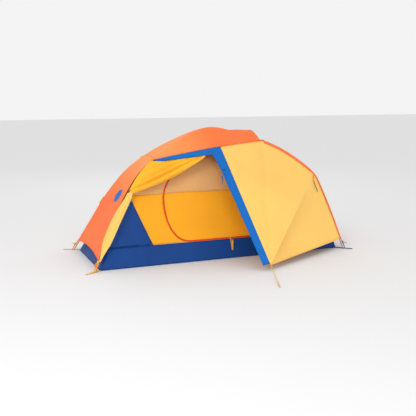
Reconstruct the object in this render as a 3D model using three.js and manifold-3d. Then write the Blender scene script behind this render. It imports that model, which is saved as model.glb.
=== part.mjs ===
// A one-person, three-season backpacking tent, pitched: two crossing poles, a clipped-on inner tent with a
// bathtub floor and a D-shaped door, and a rain fly whose vestibule door is unzipped, rolled and tied back.
// Millimetres. +X runs from the foot end to the head end, -Y is the door side, +Z is up, and the origin is
// the middle of the floor's underside. Fabric is drawn thicker than it is, so that it is a solid.

import * as THREE from "three";
import { mergeVertices } from "three/addons/utils/BufferGeometryUtils.js";
import Module from "manifold-3d";

const wasm = await Module();
wasm.setup();

// ---- Driving dimensions ----
const floorLength = 2130;
const footWidth = 760;
const headWidth = 910;
const tubHeight = 150;
const tubFabric = 2.5;
const tubCornerRadius = 30;

const crossingX = 25; // where the two poles cross, on the tent's centre line
const crossingHeight = 1046; // halfway between the two poles there
const poleRadius = 4.5;
const poleSpacing = 2 * poleRadius + 2.5; // between the poles' centre lines where one passes over the other
const poleBore = poleRadius - 0.55;
const ferruleRadius = poleBore - 0.45;
const ferruleBore = ferruleRadius - 0.5;
const ferruleLength = 45;
const shockCordRadius = 1.1;
const poleSections = 5;
const sectionSteps = 6;

const tipCollar = 8;
const tipPlug = 10;
const tipPinRadius = 2.4;
const plugRadius = poleBore - 0.85; // of the tip's plug inside the pole
const collarRadius = poleRadius + 0.7;
const tipPin = collarRadius - 1.7; // keeps the tilted collar clear of the anchor
const tipEndHeight = 1.9; // of the middle of the pin's end above the ground

const anchorWidth = 26;
const anchorThickness = 2;
const anchorLength = 150;
const footAnchorAngle = 26; // degrees from the long axis
const headAnchorAngle = 45;
const footTipReach = 45; // from the floor's corner to the pole's tip
const headTipReach = 55;
const grommetBore = tipPinRadius + 1.6;
const loopSlotLength = 58;
const loopSlotWidth = 12;

const flyRibGap = 14; // from a pole's centre line out to the fly's inner face
const flyFabric = 3;
const innerRibGap = 45; // from a pole's centre line in to the inner tent's face
const innerFabric = 2.5;
const hemHeight = 82;
const hemRise = 34; // how much higher an end panel's hem is at its middle
const seamOut = 100; // how far the roof's seam bows out over the door, and up
const seamUp = 28;
const seamDrop = 38; // how far down the leg the roof's seam starts
const crownFootX = (-520 / 2130) * floorLength;
const crownHeadX = (432 / 2130) * floorLength;
const sideBow = 45; // how far the back panel's hem bows out
const touch = 0.4; // the gap between two pieces that are sewn or rest together

const stakePoint = new THREE.Vector3(150, -900, 45); // where the vestibule is pulled down to
const guyEnd = new THREE.Vector3(-8, -1318, 2);
const guyRadius = 1.5;
const guyLead = -3.6; // from the stake point to the guyline's start
const stormFlapWidth = 84;
const stormFlapFootWidth = 58;
const armWidth = 62; // the storm flap's arm under the roof's seam, where it meets the arm down the zip
const armTipWidth = 9;
const zipSeamColumn = 5; // the seam column that the vestibule's zip meets
const seamColumns = 9;
const legRows = 8;

const doorLeft = (-490 / 2130) * floorLength;
const doorRight = (450 / 2130) * floorLength;
const doorGap = 0.8;
const doorSill = 8; // above the tub's edge
const doorTop = 730; // above the tub's edge

const clipBore = poleRadius + 1.2;
const clipRadius = clipBore + 2.3;
const crossingBore = poleRadius + 0.8;
const clipWidth = 12;
const clipTab = 3;

// ---- Small helpers ----
const vec = (x, y, z) => new THREE.Vector3(x, y, z);
const mix = (a, b, t) => a.clone().lerp(b, t);
const along = (a, direction, distance) => a.clone().addScaledVector(direction, distance);
const up = vec(0, 0, 1);
const steps = (count) => Array.from({ length: count + 1 }, (_, i) => i / count);

// Which way is out of the tent at a point: the normal of a long, low ellipsoid.
function outward(p) {
  const reach = vec(1100, 700, 1050);
  return vec(p.x / reach.x ** 2, p.y / reach.y ** 2, p.z / reach.z ** 2).normalize();
}

// A closed body from triangles of points, with its faces turned out.
function closedBody(triangles) {
  const flat = triangles.flatMap((t) => t.flatMap((p) => [p.x, p.y, p.z]));
  const loose = new THREE.BufferGeometry();
  loose.setAttribute("position", new THREE.Float32BufferAttribute(flat, 3));
  const merged = mergeVertices(loose, 1e-3);
  const at = merged.attributes.position;
  const corner = (i) => new THREE.Vector3().fromBufferAttribute(at, merged.index.getX(i));
  const kept = [];
  let volume = 0;
  for (let i = 0; i < merged.index.count; i += 3) {
    const [a, b, c] = [0, 1, 2].map((k) => merged.index.getX(i + k));
    if (a === b || b === c || a === c) continue;
    kept.push([a, b, c]);
    volume += corner(i).dot(corner(i + 1).cross(corner(i + 2)));
  }
  merged.setIndex(kept.flatMap(([a, b, c]) => (volume < 0 ? [a, c, b] : [a, b, c])));
  return merged;
}

function quad(a, b, c, d) {
  return [[a, b, c], [a, c, d]];
}

// A body through a stack of rings, capped at both ends, or joined end to start when it is a hollow loop.
function ringBody(rings, loop = false) {
  const triangles = [];
  const last = loop ? rings.length : rings.length - 1;
  for (let i = 0; i < last; i++) {
    const [low, high] = [rings[i], rings[(i + 1) % rings.length]];
    low.forEach((p, k) => {
      const next = (k + 1) % low.length;
      triangles.push(...quad(p, low[next], high[next], high[k]));
    });
  }
  if (!loop)
    for (const [ring, turned] of [[rings[0], true], [rings.at(-1), false]]) {
      const middle = ring.reduce((sum, p) => sum.add(p), vec(0, 0, 0)).divideScalar(ring.length);
      ring.forEach((p, k) => {
        const next = ring[(k + 1) % ring.length];
        triangles.push(turned ? [middle, next, p] : [middle, p, next]);
      });
    }
  return closedBody(triangles);
}

// A sheet of fabric: rows of points on its inner face, thickened outwards.
function sheetBody(rows, thickness) {
  const outer = rows.map((row) => row.map((p) => along(p, outward(p), thickness)));
  const triangles = [];
  const [m, n] = [rows.length - 1, rows[0].length - 1];
  for (let i = 0; i < m; i++)
    for (let j = 0; j < n; j++) {
      triangles.push(...quad(rows[i][j], rows[i][j + 1], rows[i + 1][j + 1], rows[i + 1][j]));
      triangles.push(...quad(outer[i + 1][j], outer[i + 1][j + 1], outer[i][j + 1], outer[i][j]));
    }
  for (let j = 0; j < n; j++) {
    triangles.push(...quad(outer[0][j], outer[0][j + 1], rows[0][j + 1], rows[0][j]));
    triangles.push(...quad(rows[m][j], rows[m][j + 1], outer[m][j + 1], outer[m][j]));
  }
  for (let i = 0; i < m; i++) {
    triangles.push(...quad(rows[i][0], rows[i + 1][0], outer[i + 1][0], outer[i][0]));
    triangles.push(...quad(outer[i][n], outer[i + 1][n], rows[i + 1][n], rows[i][n]));
  }
  return closedBody(triangles);
}

// Draws a row of points in from its two ends by a distance.
function drawnIn(row, startGap, endGap) {
  const n = row.length - 1;
  const width = row[0].distanceTo(row[n]);
  return row.map((p, j) => {
    const shift = (startGap * (n - j) - endGap * j) / n;
    return along(p, row[n].clone().sub(row[0]).normalize(), Math.min(shift, width / 2));
  });
}

function circlePoints(radius, sides) {
  return Array.from({ length: sides }, (_, k) => {
    const a = ((k + 0.5) / sides) * 2 * Math.PI;
    return new THREE.Vector2(radius * Math.cos(a), radius * Math.sin(a));
  });
}

// A round bar along a path, or a tube when it has a bore.
function tube(path, radius, bore, count, sides = 8) {
  const shape = new THREE.Shape(circlePoints(radius, sides));
  if (bore) shape.holes.push(new THREE.Path(circlePoints(bore, sides)));
  return new THREE.ExtrudeGeometry(shape, { extrudePath: path, steps: count, bevelEnabled: false });
}

// A straight round bar or tube, from one distance to another along an axis through a point.
function straightTube(point, axis, from, to, radius, bore = 0, sides = 8) {
  const path = new THREE.LineCurve3(along(point, axis, from), along(point, axis, to));
  return tube(path, radius, bore, 1, sides);
}

// A turned body about the Z axis, from pairs of radius and height.
function lathe(profile, sides) {
  const points = profile.map(([r, z]) => new THREE.Vector2(r, z));
  return new THREE.LatheGeometry(points, sides).rotateX(Math.PI / 2);
}

function ring(centre, tangent, radius, sides) {
  const u = tangent.clone().cross(up).normalize();
  const v = u.clone().cross(tangent).normalize();
  return circlePoints(radius, sides).map((p) => along(along(centre, u, p.x), v, p.y));
}

// A soft roll along a line of points, with a radius at each.
function roll(points, radii, sides = 10) {
  return ringBody(points.map((p, i) => {
    const before = points[Math.max(i - 1, 0)];
    const after = points[Math.min(i + 1, points.length - 1)];
    return ring(p, after.clone().sub(before).normalize(), radii[i], sides);
  }));
}

function solid(geometry) {
  const plain = geometry.index ? geometry.toNonIndexed() : geometry.clone();
  plain.deleteAttribute("normal");
  plain.deleteAttribute("uv");
  const merged = mergeVertices(plain, 1e-3);
  const vertProperties = new Float32Array(merged.attributes.position.array);
  const triVerts = new Uint32Array(merged.index.array);
  return new wasm.Manifold(new wasm.Mesh({ numProp: 3, vertProperties, triVerts }));
}

function geometryOf(manifold) {
  const mesh = manifold.getMesh();
  const points = new Float32Array(mesh.numVert * 3);
  for (let i = 0; i < mesh.numVert; i++)
    points.set(mesh.vertProperties.subarray(i * mesh.numProp, i * mesh.numProp + 3), i * 3);
  const geometry = new THREE.BufferGeometry();
  geometry.setAttribute("position", new THREE.BufferAttribute(points, 3));
  geometry.setIndex(new THREE.BufferAttribute(new Uint32Array(mesh.triVerts), 1));
  return geometry;
}

// Places a geometry so that its local X and Z run along two directions from an origin.
function placed(geometry, origin, x, z) {
  const matrix = new THREE.Matrix4().makeBasis(x, z.clone().cross(x), z).setPosition(origin);
  return geometry.applyMatrix4(matrix);
}

// Some direction square to an axis.
function acrossOf(axis) {
  return axis.clone().cross(Math.abs(axis.z) > 0.9 ? vec(1, 0, 0) : up).normalize();
}

function extruded(shape, depth, curveSegments = 2) {
  return new THREE.ExtrudeGeometry(shape, { depth, bevelEnabled: false, curveSegments });
}

function plainSlab(length, width) {
  const [l, w] = [length / 2, width / 2];
  return new THREE.Shape([[-l, -w], [l, -w], [l, w], [-l, w]].map(([x, y]) => new THREE.Vector2(x, y)));
}

function roundedSlab(length, width, radius) {
  const shape = new THREE.Shape();
  const [l, w] = [length / 2, width / 2];
  const corners = [[l - radius, w - radius, 0], [radius - l, w - radius, 90],
    [radius - l, radius - w, 180], [l - radius, radius - w, 270]];
  for (const [x, y, from] of corners) {
    const start = THREE.MathUtils.degToRad(from);
    shape.absarc(x, y, radius, start, start + Math.PI / 2, false);
  }
  return shape;
}

// ---- Floor corners and pole tips ----
const corners = [
  { name: "foot_front", end: -1, side: -1 },
  { name: "foot_back", end: -1, side: 1 },
  { name: "head_front", end: 1, side: -1 },
  { name: "head_back", end: 1, side: 1 },
];
for (const c of corners) {
  const angle = THREE.MathUtils.degToRad(c.end < 0 ? footAnchorAngle : headAnchorAngle);
  const width = c.end < 0 ? footWidth : headWidth;
  c.floor = vec((c.end * floorLength) / 2, (c.side * width) / 2, 0);
  c.out = vec(c.end * Math.cos(angle), c.side * Math.sin(angle), 0);
  c.tip = along(c.floor, c.out, c.end < 0 ? footTipReach : headTipReach);
}

// ---- The poles' line ----
// Each row is a point between a tip and the crossing: its share of the way in, its share of the tip's offset
// from the centre line, and its height above the ground, or below the crossing when it is negative. The
// heights are for a crossing at arcHeight, and grow with it.
const arcHeight = 1046;
const footArc = [[0.113, 0.745, 247], [0.246, 0.57, 506], [0.41, 0.393, 732], [0.708, 0.195, -102]];
const headArc = [[0.714, 0.208, -64], [0.498, 0.377, -153], [0.315, 0.528, -282],
  [0.184, 0.585, 642], [0.144, 0.617, 560], [0.065, 0.727, 331]];

// The line from the foot end's +Y corner over to the head end's -Y corner, with some lift at the crossing.
function poleCurve(lift) {
  const foot = corners[1].tip;
  const head = corners[2].tip;
  const tipHeight = tipEndHeight;
  const point = (tip, [inward, offset, height]) => {
    const above = ((height < 0 ? arcHeight + height : height) * crossingHeight) / arcHeight;
    return vec(THREE.MathUtils.lerp(tip.x, crossingX, inward), tip.y * offset, above);
  };
  const points = [vec(foot.x, foot.y, tipHeight), ...footArc.map((row) => point(foot, row)),
    vec(crossingX, 0, crossingHeight + lift), ...headArc.map((row) => point(head, row)),
    vec(head.x, head.y, tipHeight)];
  const curve = new THREE.CatmullRomCurve3(points, false, "centripetal");
  curve.arcLengthDivisions = 800;
  return curve;
}

const poles = [
  { name: "over_pole", flip: -1, curve: poleCurve(poleSpacing / 2) },
  { name: "under_pole", flip: 1, curve: poleCurve(-poleSpacing / 2) },
];
const roofLine = poleCurve(poleSpacing / 2); // what the fly lies over, the same on both sides

function mirrored(p, flip) {
  return vec(p.x, p.y * flip, p.z);
}

// The share of the roof line's length at which a measure first reaches a value.
function stationWhere(measure, value, low, high) {
  for (let i = 0; i < 50; i++) {
    const middle = (low + high) / 2;
    const below = measure(roofLine.getPointAt(middle)) < value;
    const rising = measure(roofLine.getPointAt(high)) > measure(roofLine.getPointAt(low));
    if (below === rising) low = middle;
    else high = middle;
  }
  return (low + high) / 2;
}
const roofLength = roofLine.getLength();

// ---- The two canopies ----
// Both follow the poles, the fly outside them and the inner tent inside. A canopy has a crown over the
// crossing, an end panel between the two legs at each end, and a side on the front and the back.
function makeCanopy({ gap, hem, rise, out, rising, drop, footX, headX, leastHalf }) {
  const ribPoint = (side, s) => {
    const p = roofLine.getPointAt(s);
    const onSide = vec(p.x, side * Math.abs(p.y), p.z);
    const moved = along(onSide, outward(onSide), gap);
    moved.y = side * Math.max(Math.abs(moved.y), leastHalf);
    return moved;
  };
  const height = (p) => along(p, outward(p), gap).z;
  const footHem = stationWhere(height, hem, 0.001, 0.2);
  const headHem = stationWhere(height, hem, 0.8, 0.999);
  const footEnd = stationWhere((p) => p.x, footX, 0.1, 0.6);
  const headEnd = stationWhere((p) => p.x, headX, 0.4, 0.9);
  const footSeam = footEnd - drop / roofLength;
  const headSeam = headEnd + drop / roofLength;
  const footRows = steps(legRows).map((t) => THREE.MathUtils.lerp(footHem, footSeam, t));
  const headRows = steps(legRows).map((t) => THREE.MathUtils.lerp(headHem, headSeam, t));
  const seam = (side, t) => {
    const p = mix(ribPoint(side, footSeam), ribPoint(side, headSeam), t);
    const bow = 4 * t * (1 - t);
    return vec(p.x, p.y + side * out * bow, p.z + rising * bow);
  };

  function crown() {
    return steps(seamColumns).map((t) => {
      const s = THREE.MathUtils.lerp(footEnd, headEnd, t);
      const [front, back] = [ribPoint(-1, s), ribPoint(1, s)];
      const [frontSeam, backSeam] = [seam(-1, t), seam(1, t)];
      return [frontSeam, mix(frontSeam, front, 0.5), front, mix(front, back, 0.5), back,
        mix(back, backSeam, 0.5), backSeam];
    });
  }

  // Rows run up the legs from the hem, and each row goes from the front leg to the back leg.
  function endPanel(rows, last, columns = 6) {
    const step = Math.sign(last - rows[0]);
    const all = [...rows, last - (step * touch) / roofLength];
    return all.map((s, i) => {
      const row = steps(columns).map((w) => {
        const arch = i === 0 ? (4 * w * (1 - w) * rise * step) / roofLength : 0;
        return mix(ribPoint(-1, s + arch), ribPoint(1, s + arch), w);
      });
      return drawnIn(row, touch, touch);
    });
  }

  // Rows run up from the hem, and each row goes from the foot leg to the head leg.
  function sidePanel(side, bow, topGap) {
    return steps(legRows).map((v, i) => {
      const [left, right] = [ribPoint(side, footRows[i]), ribPoint(side, headRows[i])];
      const bottom = (t) => {
        const p = mix(ribPoint(side, footRows[0]), ribPoint(side, headRows[0]), t);
        return vec(p.x, p.y + side * bow * 4 * t * (1 - t), p.z);
      };
      return steps(seamColumns).map((t) => {
        const acrossPoint = mix(left, right, t);
        const upPoint = mix(bottom(t), seam(side, t), v);
        const low = mix(bottom(0), bottom(1), t);
        const high = mix(seam(side, 0), seam(side, 1), t);
        const p = acrossPoint.add(upPoint).sub(mix(low, high, v));
        return i === legRows ? along(p, up, -topGap) : p;
      });
    });
  }
  return { ribPoint, seam, crown, endPanel, sidePanel, footRows, headRows, footEnd, headEnd };
}

const fly = makeCanopy({
  gap: flyRibGap, hem: hemHeight, rise: hemRise, out: seamOut, rising: seamUp, drop: seamDrop,
  footX: crownFootX, headX: crownHeadX, leastHalf: 16,
});
const inner = makeCanopy({
  gap: -innerRibGap, hem: tubHeight + touch, rise: 0, out: 0, rising: 0, drop: seamDrop,
  footX: crownFootX + 50, headX: crownHeadX - 50, leastHalf: 16,
});

// ---- Materials ----
const finish = (color, roughness, metalness = 0) =>
  new THREE.MeshStandardMaterial({ color, roughness, metalness });
const orange = finish(0xff7a45, 0.75);
const yellow = finish(0xfccf6e, 0.7);
const amber = finish(0xf7a922, 0.75);
const navy = finish(0x12407e, 0.7);
const blue = finish(0x1f7fd8, 0.65);
const mesh = finish(0xd7a06a, 0.9);
const anodised = finish(0xe6862c, 0.35, 0.9);
const elastic = finish(0xf4f2ea, 0.9);
const moulded = finish(0xf2a33a, 0.45);
const darkWebbing = finish(0x1d2c4f, 0.85);
const lightWebbing = finish(0xf2ae3f, 0.85);
const zipMetal = finish(0xb9bcc2, 0.35, 0.9);

const tent = new THREE.Group();
function add(name, geometry, material) {
  const piece = new THREE.Mesh(geometry, material);
  piece.name = name;
  tent.add(piece);
  return piece;
}

// ---- Poles: hollow sections with a ferrule at the head end, a tip at each end and a shock cord inside ----
// A stretch of a pole's line, on either side of the tent.
class Stretch extends THREE.Curve {
  constructor(curve, from, to, flip) {
    super();
    Object.assign(this, { curve, from, to, flip });
  }

  getPoint(t, target = new THREE.Vector3()) {
    const p = this.curve.getPointAt(THREE.MathUtils.lerp(this.from, this.to, t));
    return target.copy(mirrored(p, this.flip));
  }
}

// Where a pole's station is. The pole is drawn with a straight run from each station to the next.
const poleSteps = poleSections * sectionSteps;
function stationOf(pole, i) {
  const start = (tipPin + tipCollar) / pole.curve.getLength();
  return THREE.MathUtils.lerp(start, 1 - start, i / poleSteps);
}

function onPole(pole, s) {
  const [first, last] = [stationOf(pole, 0), stationOf(pole, poleSteps)];
  const run = ((s - first) / (last - first)) * poleSteps;
  const i = THREE.MathUtils.clamp(Math.floor(run), 0, poleSteps - 1);
  const [a, b] = [i, i + 1].map((k) => mirrored(pole.curve.getPointAt(stationOf(pole, k)), pole.flip));
  return { centre: mix(a, b, run - i), tangent: b.sub(a).normalize() };
}

function buildPole(pole) {
  const { name, flip, curve } = pole;
  const length = curve.getLength();
  const start = (tipPin + tipCollar) / length;
  const station = (i) => stationOf(pole, i);
  const centre = (s) => mirrored(curve.getPointAt(s), flip);
  const tangent = (s) => mirrored(curve.getTangentAt(s), flip);
  const half = touch / 2 / length;

  for (let k = 0; k < poleSections; k++) {
    const [from, to] = [station(k * sectionSteps) + half, station((k + 1) * sectionSteps) - half];
    let section = solid(tube(new Stretch(curve, from, to, flip), poleRadius, poleBore, sectionSteps));
    if (k < poleSections - 1) {
      const root = centre(to);
      const into = centre(station((k + 1) * sectionSteps + 1)).sub(root).normalize();
      const seat = (poleRadius + poleBore) / 2;
      const profile = [[ferruleBore, -4.5], [seat, -4.5], [seat, -1.5], [ferruleRadius, -1.5],
        [ferruleRadius, ferruleLength], [ferruleBore, ferruleLength], [ferruleBore, -4.5]];
      const ferrule = lathe(profile, 8);
      section = section.add(solid(placed(ferrule, root, acrossOf(into), into)));
    }
    add(`${name}_section_${k + 1}`, geometryOf(section), anodised);
  }
  for (const end of [0, 1]) {
    const s = end ? 1 - start : start;
    const root = centre(s);
    const axis = tangent(s).multiplyScalar(end ? 1 : -1);
    const profile = [[0, -tipPlug], [plugRadius, -tipPlug], [plugRadius, touch / 2],
      [collarRadius, touch / 2], [collarRadius - 0.6, tipCollar],
      [tipPinRadius, tipCollar], [tipPinRadius, tipCollar + tipPin], [0, tipCollar + tipPin]];
    const which = corners.find((c) => c.end === (end ? 1 : -1) && c.side === Math.sign(root.y));
    add(`pole_tip_${which.name}`, placed(lathe(profile, 8), root, acrossOf(axis), axis), moulded);
  }
  const inside = new Stretch(curve, station(1), station(poleSteps - 1), flip);
  add(`${name}_shock_cord`, tube(inside, shockCordRadius, 0, poleSteps - 2), elastic);
}
poles.forEach(buildPole);

// ---- Clips: a ring round the pole and a strap down to the inner tent ----
function strapBetween(from, to, width, thickness, widthAxis) {
  const z = to.clone().sub(from);
  const depth = z.length();
  z.normalize();
  const x = along(widthAxis, z, -widthAxis.dot(z)).normalize();
  return placed(extruded(plainSlab(width, thickness), depth), from, x, z);
}

function buildClip(name, pole, s) {
  const onRoof = roofLine.getPointAt(s);
  const side = Math.sign(onRoof.y * pole.flip);
  const { centre, tangent } = onPole(pole, s);
  const target = inner.ribPoint(side, s);
  const inwards = target.clone().sub(centre).normalize();
  const reach = target.distanceTo(centre) - innerFabric - 5 * touch;
  const hook = solid(straightTube(centre, tangent, -clipWidth / 2, clipWidth / 2, clipRadius, clipBore, 10));
  const start = along(centre, inwards, (clipRadius + clipBore) / 2);
  const strap = solid(strapBetween(start, along(centre, inwards, reach), clipWidth, clipTab, tangent));
  add(name, geometryOf(hook.add(strap)), moulded);
}
const clipRows = [2, 7];
for (const pole of poles)
  for (const [place, rows] of [["foot", inner.footRows], ["head", inner.headRows]])
    clipRows.forEach((row, i) => {
      const level = ["lower", "upper"][i];
      const sideName = (place === "foot") === (pole.flip > 0) ? "back" : "front";
      buildClip(`clip_${place}_${sideName}_${level}`, pole, rows[row]);
    });

// ---- The swivel clip that holds the two poles together where they cross ----
function buildCrossingClip() {
  const reach = 9;
  const parts = poles.map((pole) => {
    const { centre, tangent } = onPole(pole, stationWhere((p) => p.x, crossingX, 0.3, 0.7));
    return {
      centre,
      sleeve: solid(straightTube(centre, tangent, -reach, reach, clipRadius + 0.6, 0, 10)),
      hole: solid(straightTube(centre, tangent, -4 * reach, 4 * reach, crossingBore, 0, 10)),
    };
  });
  const top = along(parts[1].centre, up, 1 - clipRadius);
  const innerTop = inner.ribPoint(1, stationWhere((p) => p.x, crossingX, 0.3, 0.7));
  const foot = top.clone().setZ(innerTop.z + innerFabric + touch);
  const hanger = solid(strapBetween(top, foot, clipWidth, clipTab, vec(1, 0, 0)));
  const body = parts[0].sleeve.add(parts[1].sleeve).add(hanger);
  add("crossing_clip", geometryOf(body.subtract(parts[0].hole).subtract(parts[1].hole)), moulded);
}
buildCrossingClip();

// ---- Bathtub floor ----
function floorRing(points, z) {
  const middle = vec(0, 0, z);
  return points.flatMap((p, k) => {
    const before = points[(k + 3) % 4].clone().sub(p).normalize();
    const after = points[(k + 1) % 4].clone().sub(p).normalize();
    const [a, b] = [before, after].map((d) => along(p, d, tubCornerRadius));
    return [0, 0.33, 0.67, 1].map((t) => mix(mix(a, p, t), mix(p, b, t), t).setZ(middle.z));
  });
}
const cornerOrder = [corners[0], corners[2], corners[3], corners[1]];
const tubBottom = cornerOrder.map((c) => c.floor);
const tubTop = cornerOrder.map((c) => {
  const rows = c.end < 0 ? inner.footRows : inner.headRows;
  return inner.ribPoint(c.side, rows[0]);
});
const shrunk = (points, by) => points.map((p) => vec(p.x - Math.sign(p.x) * by, p.y - Math.sign(p.y) * by, p.z));
add("bathtub_floor", ringBody([
  floorRing(tubBottom, 0),
  floorRing(tubTop, tubHeight),
  floorRing(shrunk(tubTop, tubFabric), tubHeight),
  floorRing(shrunk(tubBottom, tubFabric), tubFabric),
]), navy);

// ---- Corner anchors: a webbing tab with a grommet for the pole's tip and a loop for a stake ----
for (const c of corners) {
  const shape = roundedSlab(anchorLength, anchorWidth, 8);
  const tipAt = (c.end < 0 ? footTipReach : headTipReach) + 0.6;
  const inset = tubCornerRadius * (c.end < 0 ? 0.27 : 0.35) - touch;
  const centreAt = anchorLength / 2 - inset;
  const grommet = new THREE.Path();
  grommet.absarc(tipAt - centreAt, 0, grommetBore, 0, 2 * Math.PI, true);
  const slotMiddle = anchorLength / 2 - loopSlotLength / 2 - 9;
  const [half, r] = [loopSlotLength / 2 - loopSlotWidth / 2, loopSlotWidth / 2];
  const slot = new THREE.Path();
  slot.absarc(slotMiddle + half, 0, r, -Math.PI / 2, Math.PI / 2, false);
  slot.absarc(slotMiddle - half, 0, r, Math.PI / 2, (3 * Math.PI) / 2, false);
  shape.holes.push(grommet, slot);
  const origin = along(c.floor, c.out, centreAt);
  const tab = placed(extruded(shape, anchorThickness, 4), origin, c.out, up);
  add(`anchor_${c.name}`, tab, c.end < 0 ? lightWebbing : darkWebbing);
}

// ---- Inner tent ----
const innerSheets = {
  inner_crown: inner.crown(),
  inner_foot_wall: inner.endPanel(inner.footRows, inner.footEnd),
  inner_head_wall: inner.endPanel(inner.headRows, inner.headEnd),
  inner_back_wall: inner.sidePanel(1, 0, touch),
};
for (const [name, rows] of Object.entries(innerSheets))
  add(name, sheetBody(rows, innerFabric), name === "inner_crown" ? mesh : amber);

// The door's outline, seen square on, with its straight hinge side on the head side.
function doorOutline(grow) {
  const [l, r] = [doorLeft - grow, doorRight + grow];
  const [b, t] = [doorSill - grow, doorTop + grow];
  const shape = new THREE.Shape();
  shape.moveTo(r, b);
  shape.lineTo(r, t - 170);
  shape.bezierCurveTo(r, t - 60, r - 130, t, r - 300, t);
  shape.lineTo(l + 530, t);
  shape.bezierCurveTo(l + 320, t, l, t - 130, l, t - 380);
  shape.bezierCurveTo(l, b + 190, l + 50, b, l + 200, b);
  shape.closePath();
  return shape;
}
const frontWallRows = inner.sidePanel(-1, 0, touch);
const wallFoot = mix(tubTop[0], tubTop[1], 0.5);
const wallHead = mix(frontWallRows.at(-1)[0], frontWallRows.at(-1)[seamColumns], 0.5);
const wallAlong = tubTop[1].clone().sub(tubTop[0]).setZ(0).normalize();
const wallRise = wallHead.clone().sub(wallFoot);
const wallUp = along(wallRise, wallAlong, -wallRise.dot(wallAlong)).normalize();
const wallOut = wallAlong.clone().cross(wallUp);
const wallOrigin = vec(0, wallFoot.y - (wallFoot.x * wallAlong.y) / wallAlong.x, tubHeight);
const cutDepth = 260;
function doorCutter(grow) {
  const start = along(wallOrigin, wallOut, -cutDepth / 2);
  return solid(placed(extruded(doorOutline(grow), cutDepth, 8), start, wallAlong, wallOut));
}
const frontWall = solid(sheetBody(frontWallRows, innerFabric));
add("inner_front_wall", geometryOf(frontWall.subtract(doorCutter(doorGap))), amber);
add("inner_door", geometryOf(frontWall.intersect(doorCutter(0))), amber);

// ---- Zip sliders and their pulls ----
function block(size, origin, x, z) {
  const shape = roundedSlab(size[0], size[1], Math.min(size[0], size[1]) / 4);
  return placed(extruded(shape, size[2]), origin, x, z);
}
const tubSlope = mix(tubBottom[0], tubBottom[1], 0.5).sub(wallFoot);
const tubDown = along(tubSlope, wallAlong, -tubSlope.dot(wallAlong)).normalize();
const sliderAt = 60; // along the sill, from the middle of the tent
const sliderSize = [14, 9, 5];
const pullThickness = 2;
const onSill = along(along(wallOrigin, wallAlong, sliderAt), wallUp, doorSill - doorGap / 2);
const doorSlider = along(onSill, wallOut, innerFabric + 2 * touch);
add("door_zip_slider", block(sliderSize, doorSlider, wallAlong, wallOut), zipMetal);
const doorPullRoot = along(doorSlider, wallOut, sliderSize[2] + touch + pullThickness / 2);
const doorPullLength = 105;
add("door_zip_pull",
  strapBetween(doorPullRoot, along(doorPullRoot, tubDown, doorPullLength), 7, pullThickness, wallAlong), lightWebbing);

// ---- Fly ----
add("fly_crown", sheetBody(fly.crown(), flyFabric), orange);
add("fly_foot_panel", sheetBody(fly.endPanel(fly.footRows, fly.footEnd), flyFabric), orange);
add("fly_head_panel", sheetBody(fly.endPanel(fly.headRows, fly.headEnd), flyFabric), orange);
add("fly_back_panel", sheetBody(fly.sidePanel(1, sideBow, touch), flyFabric), yellow);

// The vestibule's fixed half is stretched from the stake to the head leg and the roof's seam.
const zipTop = fly.seam(-1, zipSeamColumn / seamColumns);
const seamRun = steps(seamColumns).filter((t) => t >= zipSeamColumn / seamColumns).reverse();
const vestibuleEdge = [...fly.headRows.map((s) => fly.ribPoint(-1, s)),
  ...seamRun.slice(1).map((t) => fly.seam(-1, t))];
const shares = [0.005, 0.08, 0.23, 0.4, 0.55, 0.7, 0.85, 1];
add("fly_vestibule_panel", sheetBody(shares.map((b) => vestibuleEdge.map((p) => {
  const rim = b === 1 ? 1 - touch / p.distanceTo(stakePoint) : b;
  return mix(stakePoint, p, rim);
})), flyFabric), yellow);

// The storm flap covers the zip: an arm under the roof's seam and an arm down the vestibule's edge.
const zipDown = stakePoint.clone().sub(zipTop).normalize();
const seamStart = fly.seam(-1, 0.03);
const doorNormal = seamStart.clone().sub(zipTop).cross(zipDown).normalize();
const zipLeft = zipDown.clone().cross(doorNormal).normalize();
if (zipLeft.x > 0) zipLeft.negate();
const zipShare = zipSeamColumn / seamColumns;
const armStart = 0.03;
const underSeam = (t, drop) => along(fly.seam(-1, t), zipDown, touch + drop);
const armWidthAt = (t) => THREE.MathUtils.lerp(armTipWidth, armWidth, t / zipShare);
const zipRun = zipTop.distanceTo(stakePoint);
const [edgeFrom, edgeTo] = [0.19, 0.985]; // the straight stretch of the storm flap's free edge
function onFlapEdge(share) {
  const t = (share - edgeFrom) / (edgeTo - edgeFrom);
  const width = THREE.MathUtils.lerp(stormFlapWidth, stormFlapFootWidth, t);
  return along(along(zipTop, zipDown, share * zipRun), zipLeft, width);
}
function stormFlapRows() {
  const stops = [armStart, ...steps(seamColumns).filter((t) => t > 0 && t < zipShare - 1e-6)];
  const outer = stops.map((t) => underSeam(t, 0));
  const edge = stops.map((t) => underSeam(t, armWidthAt(t)));
  const corner = along(underSeam(zipShare, armWidth * 1.1), zipLeft, stormFlapWidth);
  const from = edge.at(-1);
  const to = along(corner, zipDown, 110);
  for (const t of [0.35, 0.7]) {
    outer.push(underSeam(zipShare, 0));
    edge.push(mix(mix(from, corner, t), mix(corner, to, t), t));
  }
  for (const share of [edgeFrom, 0.38, 0.58, 0.78, edgeTo]) {
    outer.push(along(along(zipTop, zipDown, share * zipRun), zipLeft, touch));
    edge.push(onFlapEdge(share));
  }
  return [outer, edge];
}
add("storm_flap", sheetBody(stormFlapRows(), flyFabric), blue);

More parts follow.
